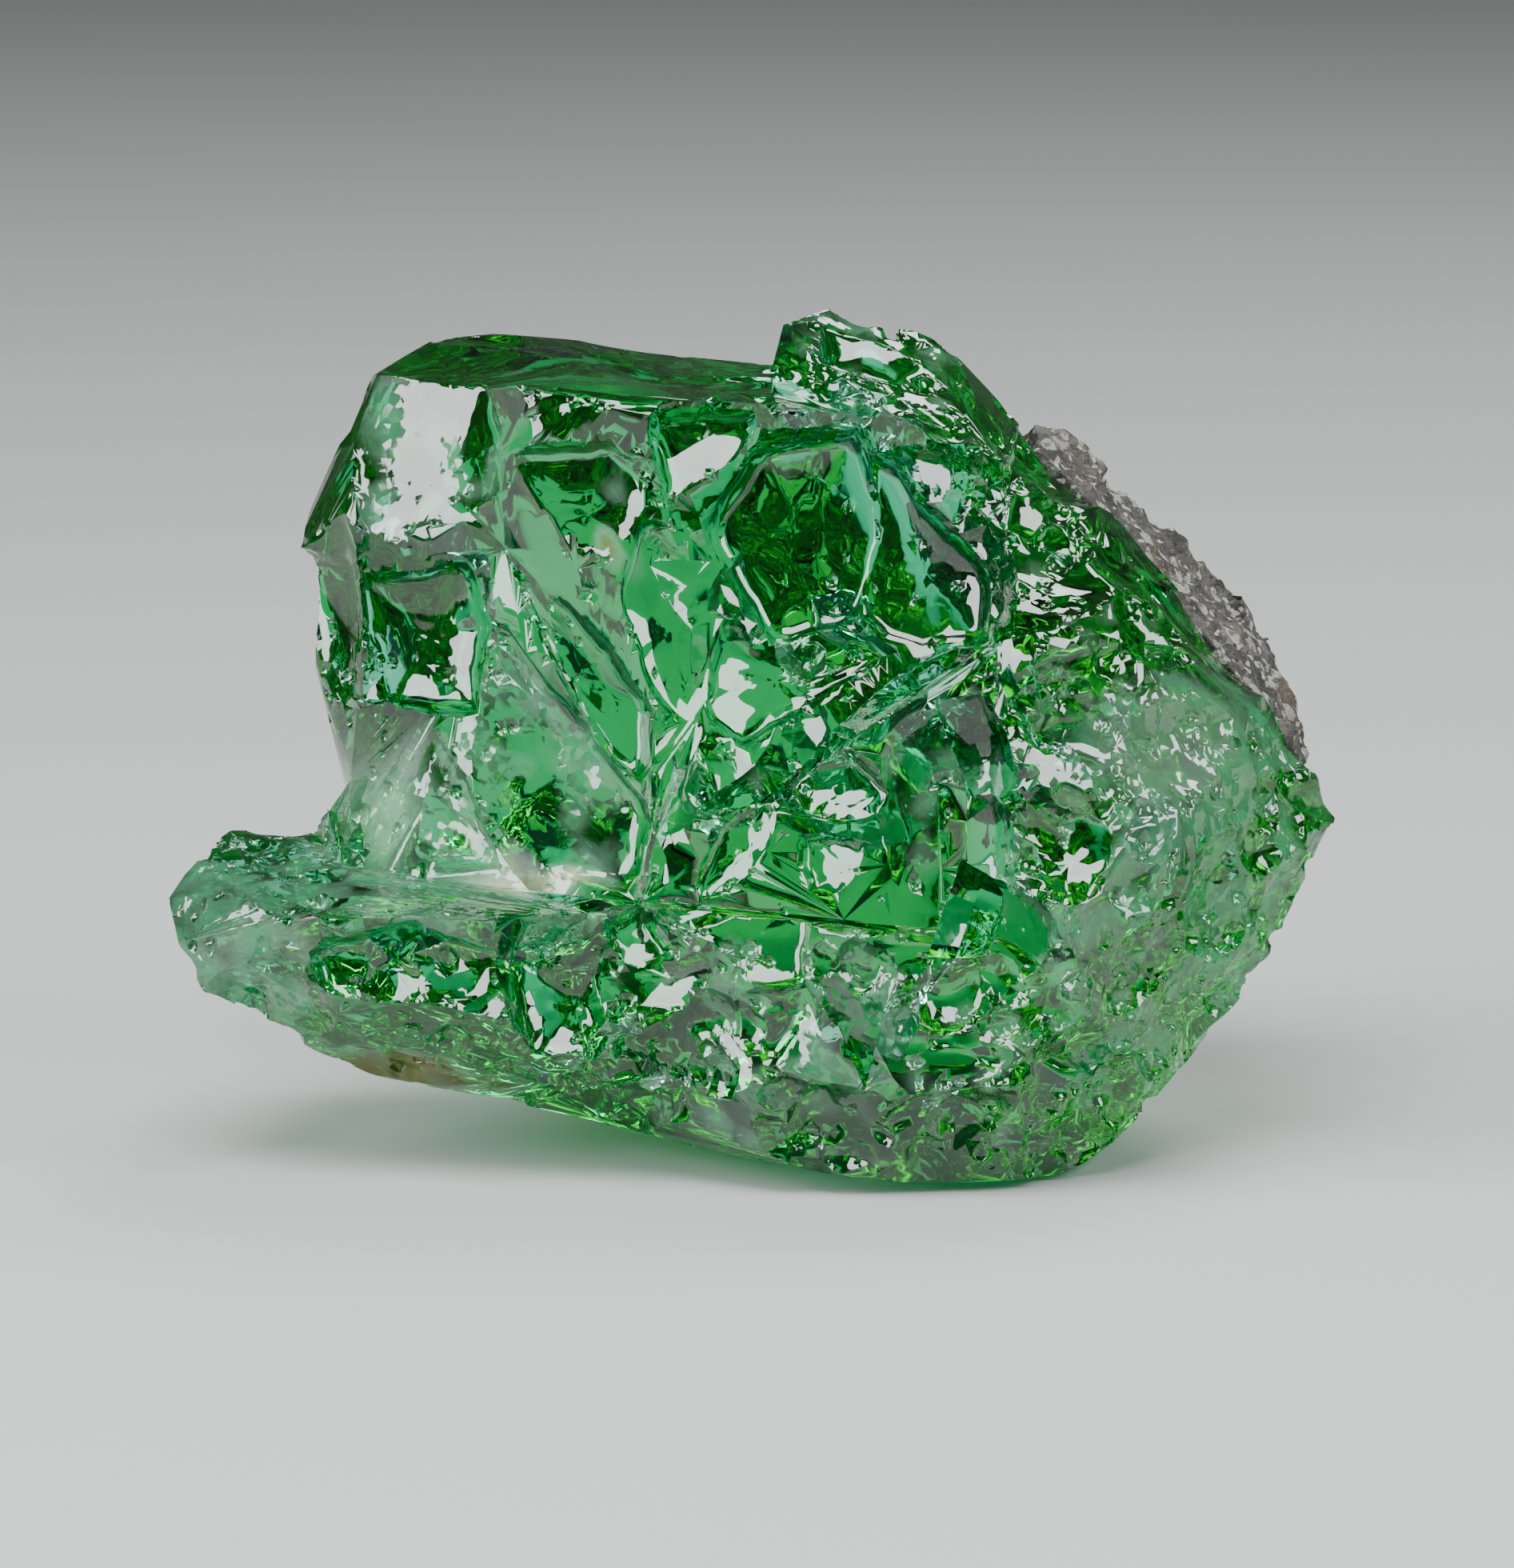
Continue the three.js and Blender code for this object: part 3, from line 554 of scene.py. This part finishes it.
# %% Zones of the stone, in millimetres
# The rock lies on this side of the crystal, beyond a plane about 5 mm from the origin.
ROCK_SIDE = (0.55, 0.8, 0.2)
ROCK_PLANE = 4.9


def clear_of_rock(p):
    x, y, z = p.T
    return (ROCK_SIDE[0] * x + ROCK_SIDE[1] * y + ROCK_SIDE[2] * z < ROCK_PLANE) & (z > 0.3)


def upper_front(p):
    x, y, z = p.T
    return clear_of_rock(p) & (y < 0) & (z > 3)


def crown_faces(p):
    x, y, z = p.T
    return clear_of_rock(p) & (x > -6.5) & (x < 4) & (y < 0.5) & (z > 3.2) & (z < 11)


def frosted_shoulder(p):
    x, y, z = p.T
    return clear_of_rock(p) & (x > 3.3) & (z < 9.3 - 0.35 * x) & (y < 2.5)


def left_wall(p):
    x, y, z = p.T
    return (x < -4.4) & (y < 2) & (z > 4.2) & (z < 8)


def ledge_end(p):
    x, y, z = p.T
    return (x < -6.0) & (z < 4.7)


def lower_front(p):
    x, y, z = p.T
    return (x > -5.6) & (x < 3.6) & (z < 3.9) & (z > 0.3) & (y < -0.8)


def edge_band(p):
    x, y, z = p.T
    return clear_of_rock(p) & (x > 0.2) & (z > 7.0) & (0.75 * x + z > 11.5)


def rear(p):
    x, y, z = p.T
    return clear_of_rock(p) & (y > 1.2) & (z > 0.5)


# %% Sow the small breaks
guide = copy_in_millimetres("tsavorite_crystal", "sowing_guide")
triangles = body_triangles(guide)


def sow(cap, zone, count, seed, radius, flatness, lean, finish):
    places = sow_area(triangles, count, seed, zone)
    return sown_breaks(tree, places, seed, cap, radius, flatness, lean, finish)


# After the cap: zone, count, seed, range of radius in mm, range of depth to radius, lean, range of finish.
tree = tree_of(crystal)
cut_breaks(crystal, [
    *sow("medium", rear, 24, 21, (0.8, 1.8), (0.08, 0.15), 0.2, (-1, 0.2)),
    *sow("medium", frosted_shoulder, 110, 22, (0.4, 1.0), (0.16, 0.26), 0.45, (-1, 0.3)),
    *sow("medium", lower_front, 70, 23, (0.22, 0.6), (0.14, 0.26), 0.5, (-1, 0.4)),
    *sow("medium", edge_band, 50, 24, (0.2, 0.55), (0.14, 0.26), 0.5, (-1, 0.2)),
    *sow("medium", ledge_end, 35, 25, (0.25, 0.6), (0.14, 0.25), 0.4, (-0.8, 0.6)),
])
front_rims = sow_ridges(crystal, 260, 31, 32, upper_front)
main_ridges = sow_ridges(guide, 300, 30, 28, clear_of_rock)
tree = tree_of(crystal)
cut_breaks(crystal, [
    *sown_breaks(tree, front_rims, 31, "small", (0.04, 0.15), (0.2, 0.4), 0.4, (-1, 0)),
    *sow("small", frosted_shoulder, 370, 26, (0.07, 0.28), (0.25, 0.42), 0.5, (-1, 0.4)),
    *sow("small", crown_faces, 190, 32, (0.03, 0.11), (0.3, 0.45), 0.3, (-1, 0.3)),
    *sow("small", left_wall, 100, 33, (0.05, 0.2), (0.25, 0.42), 0.4, (-1, 0.5)),
    *sow("small", ledge_end, 90, 27, (0.07, 0.24), (0.2, 0.4), 0.5, (-1, 0.6)),
    *sow("small", edge_band, 80, 28, (0.07, 0.24), (0.2, 0.4), 0.5, (-1, 0.3)),
    *sow("small", lower_front, 120, 29, (0.07, 0.22), (0.2, 0.4), 0.5, (-1, 0.5)),
    *sown_breaks(tree, main_ridges, 30, "small", (0.05, 0.2), (0.2, 0.45), 0.4, (-1, 0)),
])
bpy.data.objects.remove(guide)

# %% [markdown]
# Blows also leave cracks that end inside the stone. Such a crack is a thin bent gap of air, and seen from
# the dense side it mirrors all the light that meets it at a low angle, so it shows as a bright veil. It is
# cut like a break, with a sphere flattened to a bent lens that dips into the stone and just reaches out of
# its skin.

# %% Shape a crack
GAP = 0.018
LENS_POINTS, LENS_FACES = sphere_mesh(20, 10)
CRACK_WIDTH = 0.75
SHARE_INSIDE = 0.82
CRACK_FINISH = 0.7


def crack(tree, pixel, heading, dip, radius, bend):
    place, normal = spot_at_pixel(tree, *pixel)
    along = RIGHT * math.cos(math.radians(heading)) + UP * math.sin(math.radians(heading))
    along = (along - normal * along.dot(normal)).normalized()
    inward = (along * math.cos(math.radians(dip)) - normal * math.sin(math.radians(dip))).normalized()
    side = normal.cross(along).normalized()
    x, y, z = LENS_POINTS.T
    angle = np.arctan2(y, x)
    ragged = 1 + 0.12 * np.sin(3 * angle + heading) + 0.07 * np.sin(7 * angle + heading)
    x, y = x * ragged, y * ragged
    height = z * GAP / radius + bend * (x**2 - 0.4 * y**2) + 0.03 * np.sin(9 * x + 4 * y)
    lens = np.stack([x, y * CRACK_WIDTH, height], axis=1) * radius
    turn = np.array([tuple(inward), tuple(side), tuple(inward.cross(side))])
    centre = np.array(place + inward * radius * SHARE_INSIDE)
    return lens @ turn + centre, LENS_FACES, CRACK_FINISH


# %% Cut the cracks
# Each has the pixel where it starts, its heading in the photograph and its dip into the stone in degrees,
# its radius in mm and its bend.
CRACKS = {
    "window, left": ((905, 700), -50, 38, 0.75, 0.25),
    "window, middle": ((985, 800), -60, 34, 0.5, -0.2),
    "window, level": ((1015, 775), 12, 30, 0.6, 0.12),
    "window, foot": ((1000, 880), -75, 40, 0.5, -0.2),
    "window, lower left": ((860, 950), -60, 35, 0.6, 0.2),
    "shoulder, left": ((1180, 830), -100, 40, 0.5, 0.15),
    "shoulder, upper": ((1330, 900), -70, 45, 0.6, 0.3),
    "shoulder, right": ((1450, 1000), -110, 40, 0.6, -0.3),
    "dark pocket": ((720, 1170), -70, 40, 0.6, 0.25),
    "low right blade": ((1080, 1240), -60, 40, 0.6, 0.2),
    "front of the ledge": ((480, 1150), -20, 35, 0.6, 0.2),
    "knob": ((1060, 470), -80, 40, 0.5, 0.2),
}
cut_breaks(crystal, [crack(tree_of(crystal), *values) for values in CRACKS.values()])

# %% [markdown]
# The booleans leave one closed mesh, which is kept as it is: light has to enter and leave a clear body
# through closed walls. Smooth shading up to 24 degrees lets each hollow look round while its rim stays a
# crisp line.

# %% Finish the crystal's mesh
CRYSTAL_SMOOTH_DEGREES = 24
crystal.data.materials.clear()
resize_mesh(crystal, MM)
bpy.ops.object.shade_smooth_by_angle(angle=math.radians(CRYSTAL_SMOOTH_DEGREES))
crystal.data.calc_loop_triangles()
print("crystal triangles:", len(crystal.data.loop_triangles))

# %% [markdown]
# The host rock is a crust of tightly grown grains. Its solid is remeshed to small even faces, and three
# noises of falling size move the surface: lumps, single grains and pits. The side that lies against the
# crystal is left out of this by its weights. The piece is then moved up to the crystal, because the packed
# solids keep a gap of a tenth of a millimetre where the real ones are grown together.

# %% The host rock's even mesh and its weights
ROCK_FACE_SIZE = 0.08
STILL_DEPTH = 0.06
FADE_DEPTH = 0.3
AWAY_FROM_CRYSTAL = Vector(ROCK_SIDE).normalized()

rock = copy_in_millimetres("matrix_rock", "rock_crust")
apply_modifier(rock, "REMESH", mode="VOXEL", voxel_size=ROCK_FACE_SIZE)
heights = np.array([vertex.co.dot(AWAY_FROM_CRYSTAL) for vertex in rock.data.vertices])
weights = np.clip((heights - heights.min() - STILL_DEPTH) / FADE_DEPTH, 0, 1)
outer_side = rock.vertex_groups.new(name="outer_side")
for number, weight in enumerate(weights):
    outer_side.add([number], float(weight), "REPLACE")
print("rock corners that stay:", int((weights == 0).sum()), "of", len(weights))


# %% The host rock's lumps, grains and pits
def raise_relief(kind, size, depth, level, **settings):
    texture = bpy.data.textures.new(kind.lower() + "_relief", kind)
    texture.noise_scale = size
    for key, value in settings.items():
        setattr(texture, key, value)
    settings = {"texture": texture, "strength": depth, "mid_level": level}
    apply_modifier(rock, "DISPLACE", **settings, vertex_group="outer_side")
    bpy.data.textures.remove(texture)


raise_relief("CLOUDS", size=1.0, depth=0.22, level=0.4, noise_depth=1)
raise_relief("VORONOI", size=0.34, depth=0.16, level=0.5, distance_metric="DISTANCE_SQUARED")
raise_relief("CLOUDS", size=0.2, depth=0.07, level=0.6, noise_depth=1)

# %% Move the host rock up to the crystal
CLOSED_GAP = 0.08
ROCK_SMOOTH_DEGREES = 40
only(rock)
bpy.ops.object.mode_set(mode="EDIT")
bpy.ops.mesh.select_all(action="SELECT")
bpy.ops.transform.translate(value=AWAY_FROM_CRYSTAL * -CLOSED_GAP)
bpy.ops.object.mode_set(mode="OBJECT")
resize_mesh(rock, MM)
bpy.ops.object.shade_smooth_by_angle(angle=math.radians(ROCK_SMOOTH_DEGREES))
print("rock faces:", len(rock.data.polygons))

# %% [markdown]
# Colours are picked as web colours and turned into linear light. A few small functions keep the node
# networks short: one adds a node with its settings and links, and the others each make one step of a
# pattern.


# %% Colours and nodes
def linear(hex_code):
    values = [int(hex_code[i:i + 2], 16) / 255 for i in (1, 3, 5)]
    return tuple(v / 12.92 if v <= 0.04045 else ((v + 0.055) / 1.055) ** 2.4 for v in values) + (1,)


def add_node(material, kind, settings=None, links=None):
    node = material.node_tree.nodes.new(kind)
    for key, value in (settings or {}).items():
        if isinstance(key, int) or key in node.inputs:
            node.inputs[key].default_value = value
        else:
            setattr(node, key, value)
    for key, source in (links or {}).items():
        material.node_tree.links.new(source, node.inputs[key])
    return node


def new_material(name):
    material = bpy.data.materials.new(name)
    material.use_nodes = True
    material.node_tree.nodes.clear()
    return material


# %% Steps of a pattern
def set_or_link(material, socket, value):
    if isinstance(value, (int, float, tuple)):
        socket.default_value = value
    else:
        material.node_tree.links.new(value, socket)


def calculate(material, operation, *values):
    node = add_node(material, "ShaderNodeMath", {"operation": operation})
    for number, value in enumerate(values):
        set_or_link(material, node.inputs[number], value)
    return node.outputs[0]


def from_range(material, value, low, high, to_low, to_high):
    settings = {"interpolation_type": "SMOOTHSTEP"}
    settings.update({"From Min": low, "From Max": high, "To Min": to_low, "To Max": to_high})
    return add_node(material, "ShaderNodeMapRange", settings, {"Value": value}).outputs["Result"]


def mix_colours(material, share, first, second):
    node = add_node(material, "ShaderNodeMix", {"data_type": "RGBA"}, {0: share})
    set_or_link(material, node.inputs[6], first)
    set_or_link(material, node.inputs[7], second)
    return node.outputs[2]


def vector(material, operation, first, second=(0, 0, 0)):
    node = add_node(material, "ShaderNodeVectorMath", {"operation": operation}, {0: first})
    set_or_link(material, node.inputs["Scale"] if operation == "SCALE" else node.inputs[1], second)
    return node.outputs[0]


def noise(material, place, per_mm, detail, roughness):
    settings = {"Scale": per_mm, "Detail": detail, "Roughness": roughness}
    return add_node(material, "ShaderNodeTexNoise", settings, {"Vector": place}).outputs["Fac"]


def place_in_millimetres(material):
    place = add_node(material, "ShaderNodeTexCoord").outputs["Object"]
    return vector(material, "SCALE", place, 1 / MM)


# %% [markdown]
# Fresh breaks are as smooth as glass, and old ones are frosted: many tiny chips scatter the light. Where the
# stone is frosted or stained is given by ovals, bent by a slow noise so that no edge is round, and a cloudy
# noise breaks the frost up. This is worked out once for every corner of the mesh and kept with it, so the
# material has only a few values to read.

# %% Where the crystal is frosted and stained
# Centre and half size in millimetres, how soft the rim is, and how frosted the middle is.
FROSTED = {
    "shoulder": ((6.4, -3.0, 4.4), (3.1, 3.8, 3.8), 0.25, 0.44),
    "end of the ledge": ((-7.7, -2.4, 3.4), (1.7, 2.8, 1.5), 0.30, 0.46),
    "top of the ledge": ((-5.0, -2.4, 4.4), (3.2, 2.2, 0.5), 0.50, 0.44),
    "wall above the ledge": ((-3.5, -1.9, 6.0), (1.9, 1.3, 1.9), 0.40, 0.20),
    "lower front": ((0.5, -5.0, 2.2), (4.5, 1.6, 1.9), 0.40, 0.28),
    "knob": ((2.0, 0.6, 12.0), (1.6, 1.6, 0.9), 0.40, 0.28),
    "pale crumbs behind the ledge": ((-5.8, -0.4, 5.0), (0.8, 1.3, 0.9), 0.60, 0.60),
}
# Centre and half size in millimetres, how soft the rim is, colour and strength.
STAINS = {
    "yellow rim of a break": ((-2.1, -2.5, 9.3), (0.22, 0.4, 0.35), 0.5, "#86701f", 0.30),
    "brown under the ledge": ((-5.2, -1.8, 1.3), (1.3, 1.2, 0.5), 0.5, "#7a6c34", 0.60),
    "pale dust on the ledge": ((-3.2, -2.3, 4.3), (0.9, 0.5, 0.25), 0.5, "#bccaa0", 0.50),
    "dark grain on the ledge": ((-6.68, -4.28, 4.14), (0.20, 0.4, 0.16), 0.4, "#2a0d0a", 0.95),
    "olive tone of the shoulder": ((6.2, -3.0, 6.6), (1.3, 1.6, 0.9), 0.5, "#6f9a58", 0.16),
    "pale crumbs behind the ledge": ((-5.8, -0.4, 5.0), (0.8, 1.3, 0.9), 0.6, "#8fbf98", 0.30),
}

# %% Work out the frost and the stains
DRIFTS_PER_MM = 0.9
DRIFT = 0.5
CLOUDS_PER_MM = 1.7
CLOUDINESS = 0.45


def share_of_oval(points, centre, size, soft):
    distance = np.linalg.norm((points - centre) / size, axis=1)
    share = np.clip((1 + soft - distance) / (2 * soft), 0, 1)
    return share * share * (3 - 2 * share)


def cloud(corner):
    place = Vector(corner)
    return solid_noise.noise(place * CLOUDS_PER_MM) + 0.5 * solid_noise.noise(place * CLOUDS_PER_MM * 2)


corners = np.array([vertex.co for vertex in crystal.data.vertices]) / MM
drift = np.array([solid_noise.noise_vector(Vector(corner) * DRIFTS_PER_MM) for corner in corners])
cloudy = np.array([cloud(corner) for corner in corners])
corners = corners + drift * DRIFT
frost = np.zeros(len(corners))
for centre, size, soft, amount in FROSTED.values():
    frost = np.maximum(frost, amount * share_of_oval(corners, centre, size, soft))
frost = frost + CLOUDINESS * cloudy
stain_colour = np.ones((len(corners), 3))
stain = np.zeros(len(corners))
for centre, size, soft, colour, strength in STAINS.values():
    share = strength * share_of_oval(corners, centre, size, soft)
    blend = (share / np.maximum(1 - (1 - share) * (1 - stain), 1e-6))[:, None]
    stain_colour = stain_colour * (1 - blend) + np.array(linear(colour)[:3]) * blend
    stain = 1 - (1 - share) * (1 - stain)
kept_on_corners = crystal.data.attributes
kept_on_corners.new("frost", "FLOAT", "POINT").data.foreach_set("value", frost)
kept_on_corners.new("stain", "FLOAT", "POINT").data.foreach_set("value", stain)
colours = kept_on_corners.new("stain_colour", "FLOAT_VECTOR", "POINT")
colours.data.foreach_set("vector", stain_colour.ravel())
print("corners:", len(corners), "frosted:", int((frost > 0.2).sum()), "stained:", int((stain > 0.2).sum()))

# %% [markdown]
# The garnet is one clear body, and its looks change only at the skin. The frost that was kept on the mesh
# and the finish that each cutter left on its faces add up. A frosted skin is made of facets a seventh of a
# millimetre wide, each with its own small tilt. The index of refraction is that of tsavorite, 1.74. Most of
# the green comes from absorption in the body, so thin edges stay pale and the thick middle turns a deep
# emerald.

# %% Skin of the green garnet
GARNET_IOR = 1.74
FROST_OF_FINISH = 0.36
FACETS_PER_MM = 7.0
CLEAR_TINT = linear("#d0f2e2")
FROSTED_TINT = linear("#4ab27a")

garnet = new_material("broken_green_garnet")
place = place_in_millimetres(garnet)
kept = {name: add_node(garnet, "ShaderNodeAttribute", {"attribute_name": name}).outputs
        for name in ("finish", "frost", "stain", "stain_colour")}
finish, stain = kept["finish"]["Fac"], kept["stain"]["Fac"]
frost = calculate(garnet, "MULTIPLY_ADD", finish, FROST_OF_FINISH, kept["frost"]["Fac"])
facets = add_node(garnet, "ShaderNodeTexVoronoi", {"Scale": FACETS_PER_MM}, {"Vector": place})
tilt = vector(garnet, "SUBTRACT", facets.outputs["Color"], (0.5, 0.5, 0.5))
tilt = vector(garnet, "SCALE", tilt, from_range(garnet, frost, 0.05, 0.9, 0.0, 0.7))
skin = vector(garnet, "ADD", add_node(garnet, "ShaderNodeNewGeometry").outputs["Normal"], tilt)
skin = vector(garnet, "NORMALIZE", skin)
roughness = from_range(garnet, frost, 0.0, 1.0, 0.02, 0.28)
clearness = from_range(garnet, frost, 0.15, 0.9, 1.0, 0.45)
clearness = calculate(garnet, "MULTIPLY", clearness, calculate(garnet, "SUBTRACT", 1.0, stain))
tint = mix_colours(garnet, from_range(garnet, frost, 0.1, 0.6, 0, 1), CLEAR_TINT, FROSTED_TINT)
tint = mix_colours(garnet, from_range(garnet, stain, 0, 0.4, 0, 1), tint, kept["stain_colour"]["Color"])
surface = add_node(
    garnet, "ShaderNodeBsdfPrincipled", {"IOR": GARNET_IOR},
    {"Base Color": tint, "Roughness": roughness, "Transmission Weight": clearness, "Normal": skin})

# %% Body of the green garnet
# What is left of white light after a long way through the stone, and how fast it gets there, per metre.
LIGHT_LET_THROUGH = (0.02, 0.90, 0.69, 1)
ABSORPTION = 820
colouring = {"Color": LIGHT_LET_THROUGH, "Density": ABSORPTION}
inside = add_node(garnet, "ShaderNodeVolumeAbsorption", colouring).outputs[0]
add_node(garnet, "ShaderNodeOutputMaterial", links={"Surface": surface.outputs[0], "Volume": inside})
crystal.data.materials.append(garnet)
print("garnet nodes:", len(garnet.node_tree.nodes))

# %% [markdown]
# The host rock is a grey-brown mosaic of grains about a quarter of a millimetre wide, with darker seams,
# some pale grains and an ochre stain. It is dull, apart from a few grains whose faces catch the light.

# %% Patterns of the host rock
GRAINS_PER_MM = 4.0
SMALL_GRAINS_PER_MM = 11.0
STAINS_PER_MM = 0.7
SPECKS_PER_MM = 14.0

host = new_material("granular_host_rock")
place = place_in_millimetres(host)


def random_of_grains(per_mm):
    grains = add_node(host, "ShaderNodeTexVoronoi", {"Scale": per_mm}, {"Vector": place}).outputs
    return add_node(host, "ShaderNodeSeparateColor", links={0: grains["Color"]}).outputs


grain = random_of_grains(GRAINS_PER_MM)
small_grain = random_of_grains(SMALL_GRAINS_PER_MM)
stain = noise(host, place, STAINS_PER_MM, 4, 0.6)
speck = noise(host, place, SPECKS_PER_MM, 3, 0.6)

# %% Colour and shine of the host rock
# The pattern, where a layer sets in and where it is full, its strength and its colour.
LAYERS = {
    "pale grains": (grain[1], 0.78, 0.86, 0.85, "#a3a196"),
    "dark seams": (small_grain[0], 0.72, 0.80, 0.70, "#332c25"),
    "light specks": (small_grain[1], 0.88, 0.94, 0.70, "#c2c1b8"),
    "ochre stain": (stain, 0.50, 0.70, 0.60, "#5f4c2f"),
    "dark specks": (speck, 0.60, 0.75, 0.60, "#2a241f"),
}
ROCK_IOR = 1.55

tone = mix_colours(host, grain[0], linear("#2e2c28"), linear("#5e5b54"))
for pattern, start, full, strength, colour in LAYERS.values():
    tone = mix_colours(host, from_range(host, pattern, start, full, 0, strength), tone, linear(colour))
gloss = from_range(host, small_grain[2], 0.7, 0.9, 0.85, 0.22)
bump = add_node(host, "ShaderNodeBump", {"Strength": 0.9, "Distance": 0.12 * MM}, {"Height": speck})
surface = add_node(
    host, "ShaderNodeBsdfPrincipled", {"IOR": ROCK_IOR},
    {"Base Color": tone, "Roughness": gloss, "Normal": bump.outputs[0]})
add_node(host, "ShaderNodeOutputMaterial", links={"Surface": surface.outputs[0]})
rock.data.materials.clear()
rock.data.materials.append(host)
print("host rock nodes:", len(host.node_tree.nodes))

# %% [markdown]
# The stone lies on plain pale paper. Three soft boxes stand where the mirrored breaks of the front look,
# one at the left, one above and one at the right, and a fourth one behind lights the body through. The room
# is dim, so the glassy faces between the highlights stay deep green.

# %% Floor
FLOOR_SIZE = 2.0
bpy.ops.object.select_all(action="DESELECT")
bpy.ops.mesh.primitive_plane_add(size=FLOOR_SIZE, location=(0, 0, 0))
floor = bpy.context.object
floor.name = "pale_floor"
pale = new_material("pale_paper")
surface = add_node(pale, "ShaderNodeBsdfPrincipled", {"Base Color": linear("#b9b9b6"), "Roughness": 0.8})
add_node(pale, "ShaderNodeOutputMaterial", links={"Surface": surface.outputs[0]})
floor.data.materials.append(pale)
print("floor, m:", tuple(round(side, 2) for side in floor.dimensions))

# %% Soft boxes and the dim room
REAR_BOX = Vector((0.35, 0.45, 0.85))
LIGHT_COLOUR = (0.94, 0.98, 1.0)
LIGHT_AIM = Vector((0, 0, 6)) * MM
ROOM_COLOUR = (0.8, 0.82, 0.85, 1)
ROOM_STRENGTH = 0.08


def soft_light(name, towards, distance, size, watts):
    data = bpy.data.lights.new(name, "AREA")
    data.shape = "RECTANGLE"
    data.size, data.size_y = size
    data.energy = watts
    data.color = LIGHT_COLOUR
    lamp = bpy.data.objects.new(name, data)
    bpy.context.collection.objects.link(lamp)
    lamp.location = LIGHT_AIM + towards.normalized() * distance
    lamp.rotation_euler = (LIGHT_AIM - lamp.location).to_track_quat("-Z", "Y").to_euler()


soft_light("left_box", LEFT_BOX, distance=0.14, size=(0.080, 0.095), watts=0.30)
soft_light("top_box", TOP_BOX, distance=0.14, size=(0.090, 0.065), watts=0.25)
soft_light("right_box", RIGHT_BOX, distance=0.15, size=(0.055, 0.075), watts=0.16)
soft_light("rear_box", REAR_BOX, distance=0.15, size=(0.070, 0.050), watts=0.14)
world = bpy.data.worlds.new("soft_room")
bpy.context.scene.world = world
world.use_nodes = True
world.node_tree.nodes["Background"].inputs["Color"].default_value = ROOM_COLOUR
world.node_tree.nodes["Background"].inputs["Strength"].default_value = ROOM_STRENGTH
print("soft boxes, W:", [round(light.energy, 2) for light in bpy.data.lights])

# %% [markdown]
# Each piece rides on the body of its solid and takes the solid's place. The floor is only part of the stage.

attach(crystal, "root")
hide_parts("tsavorite_crystal")
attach(rock, "root")
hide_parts("matrix_rock")
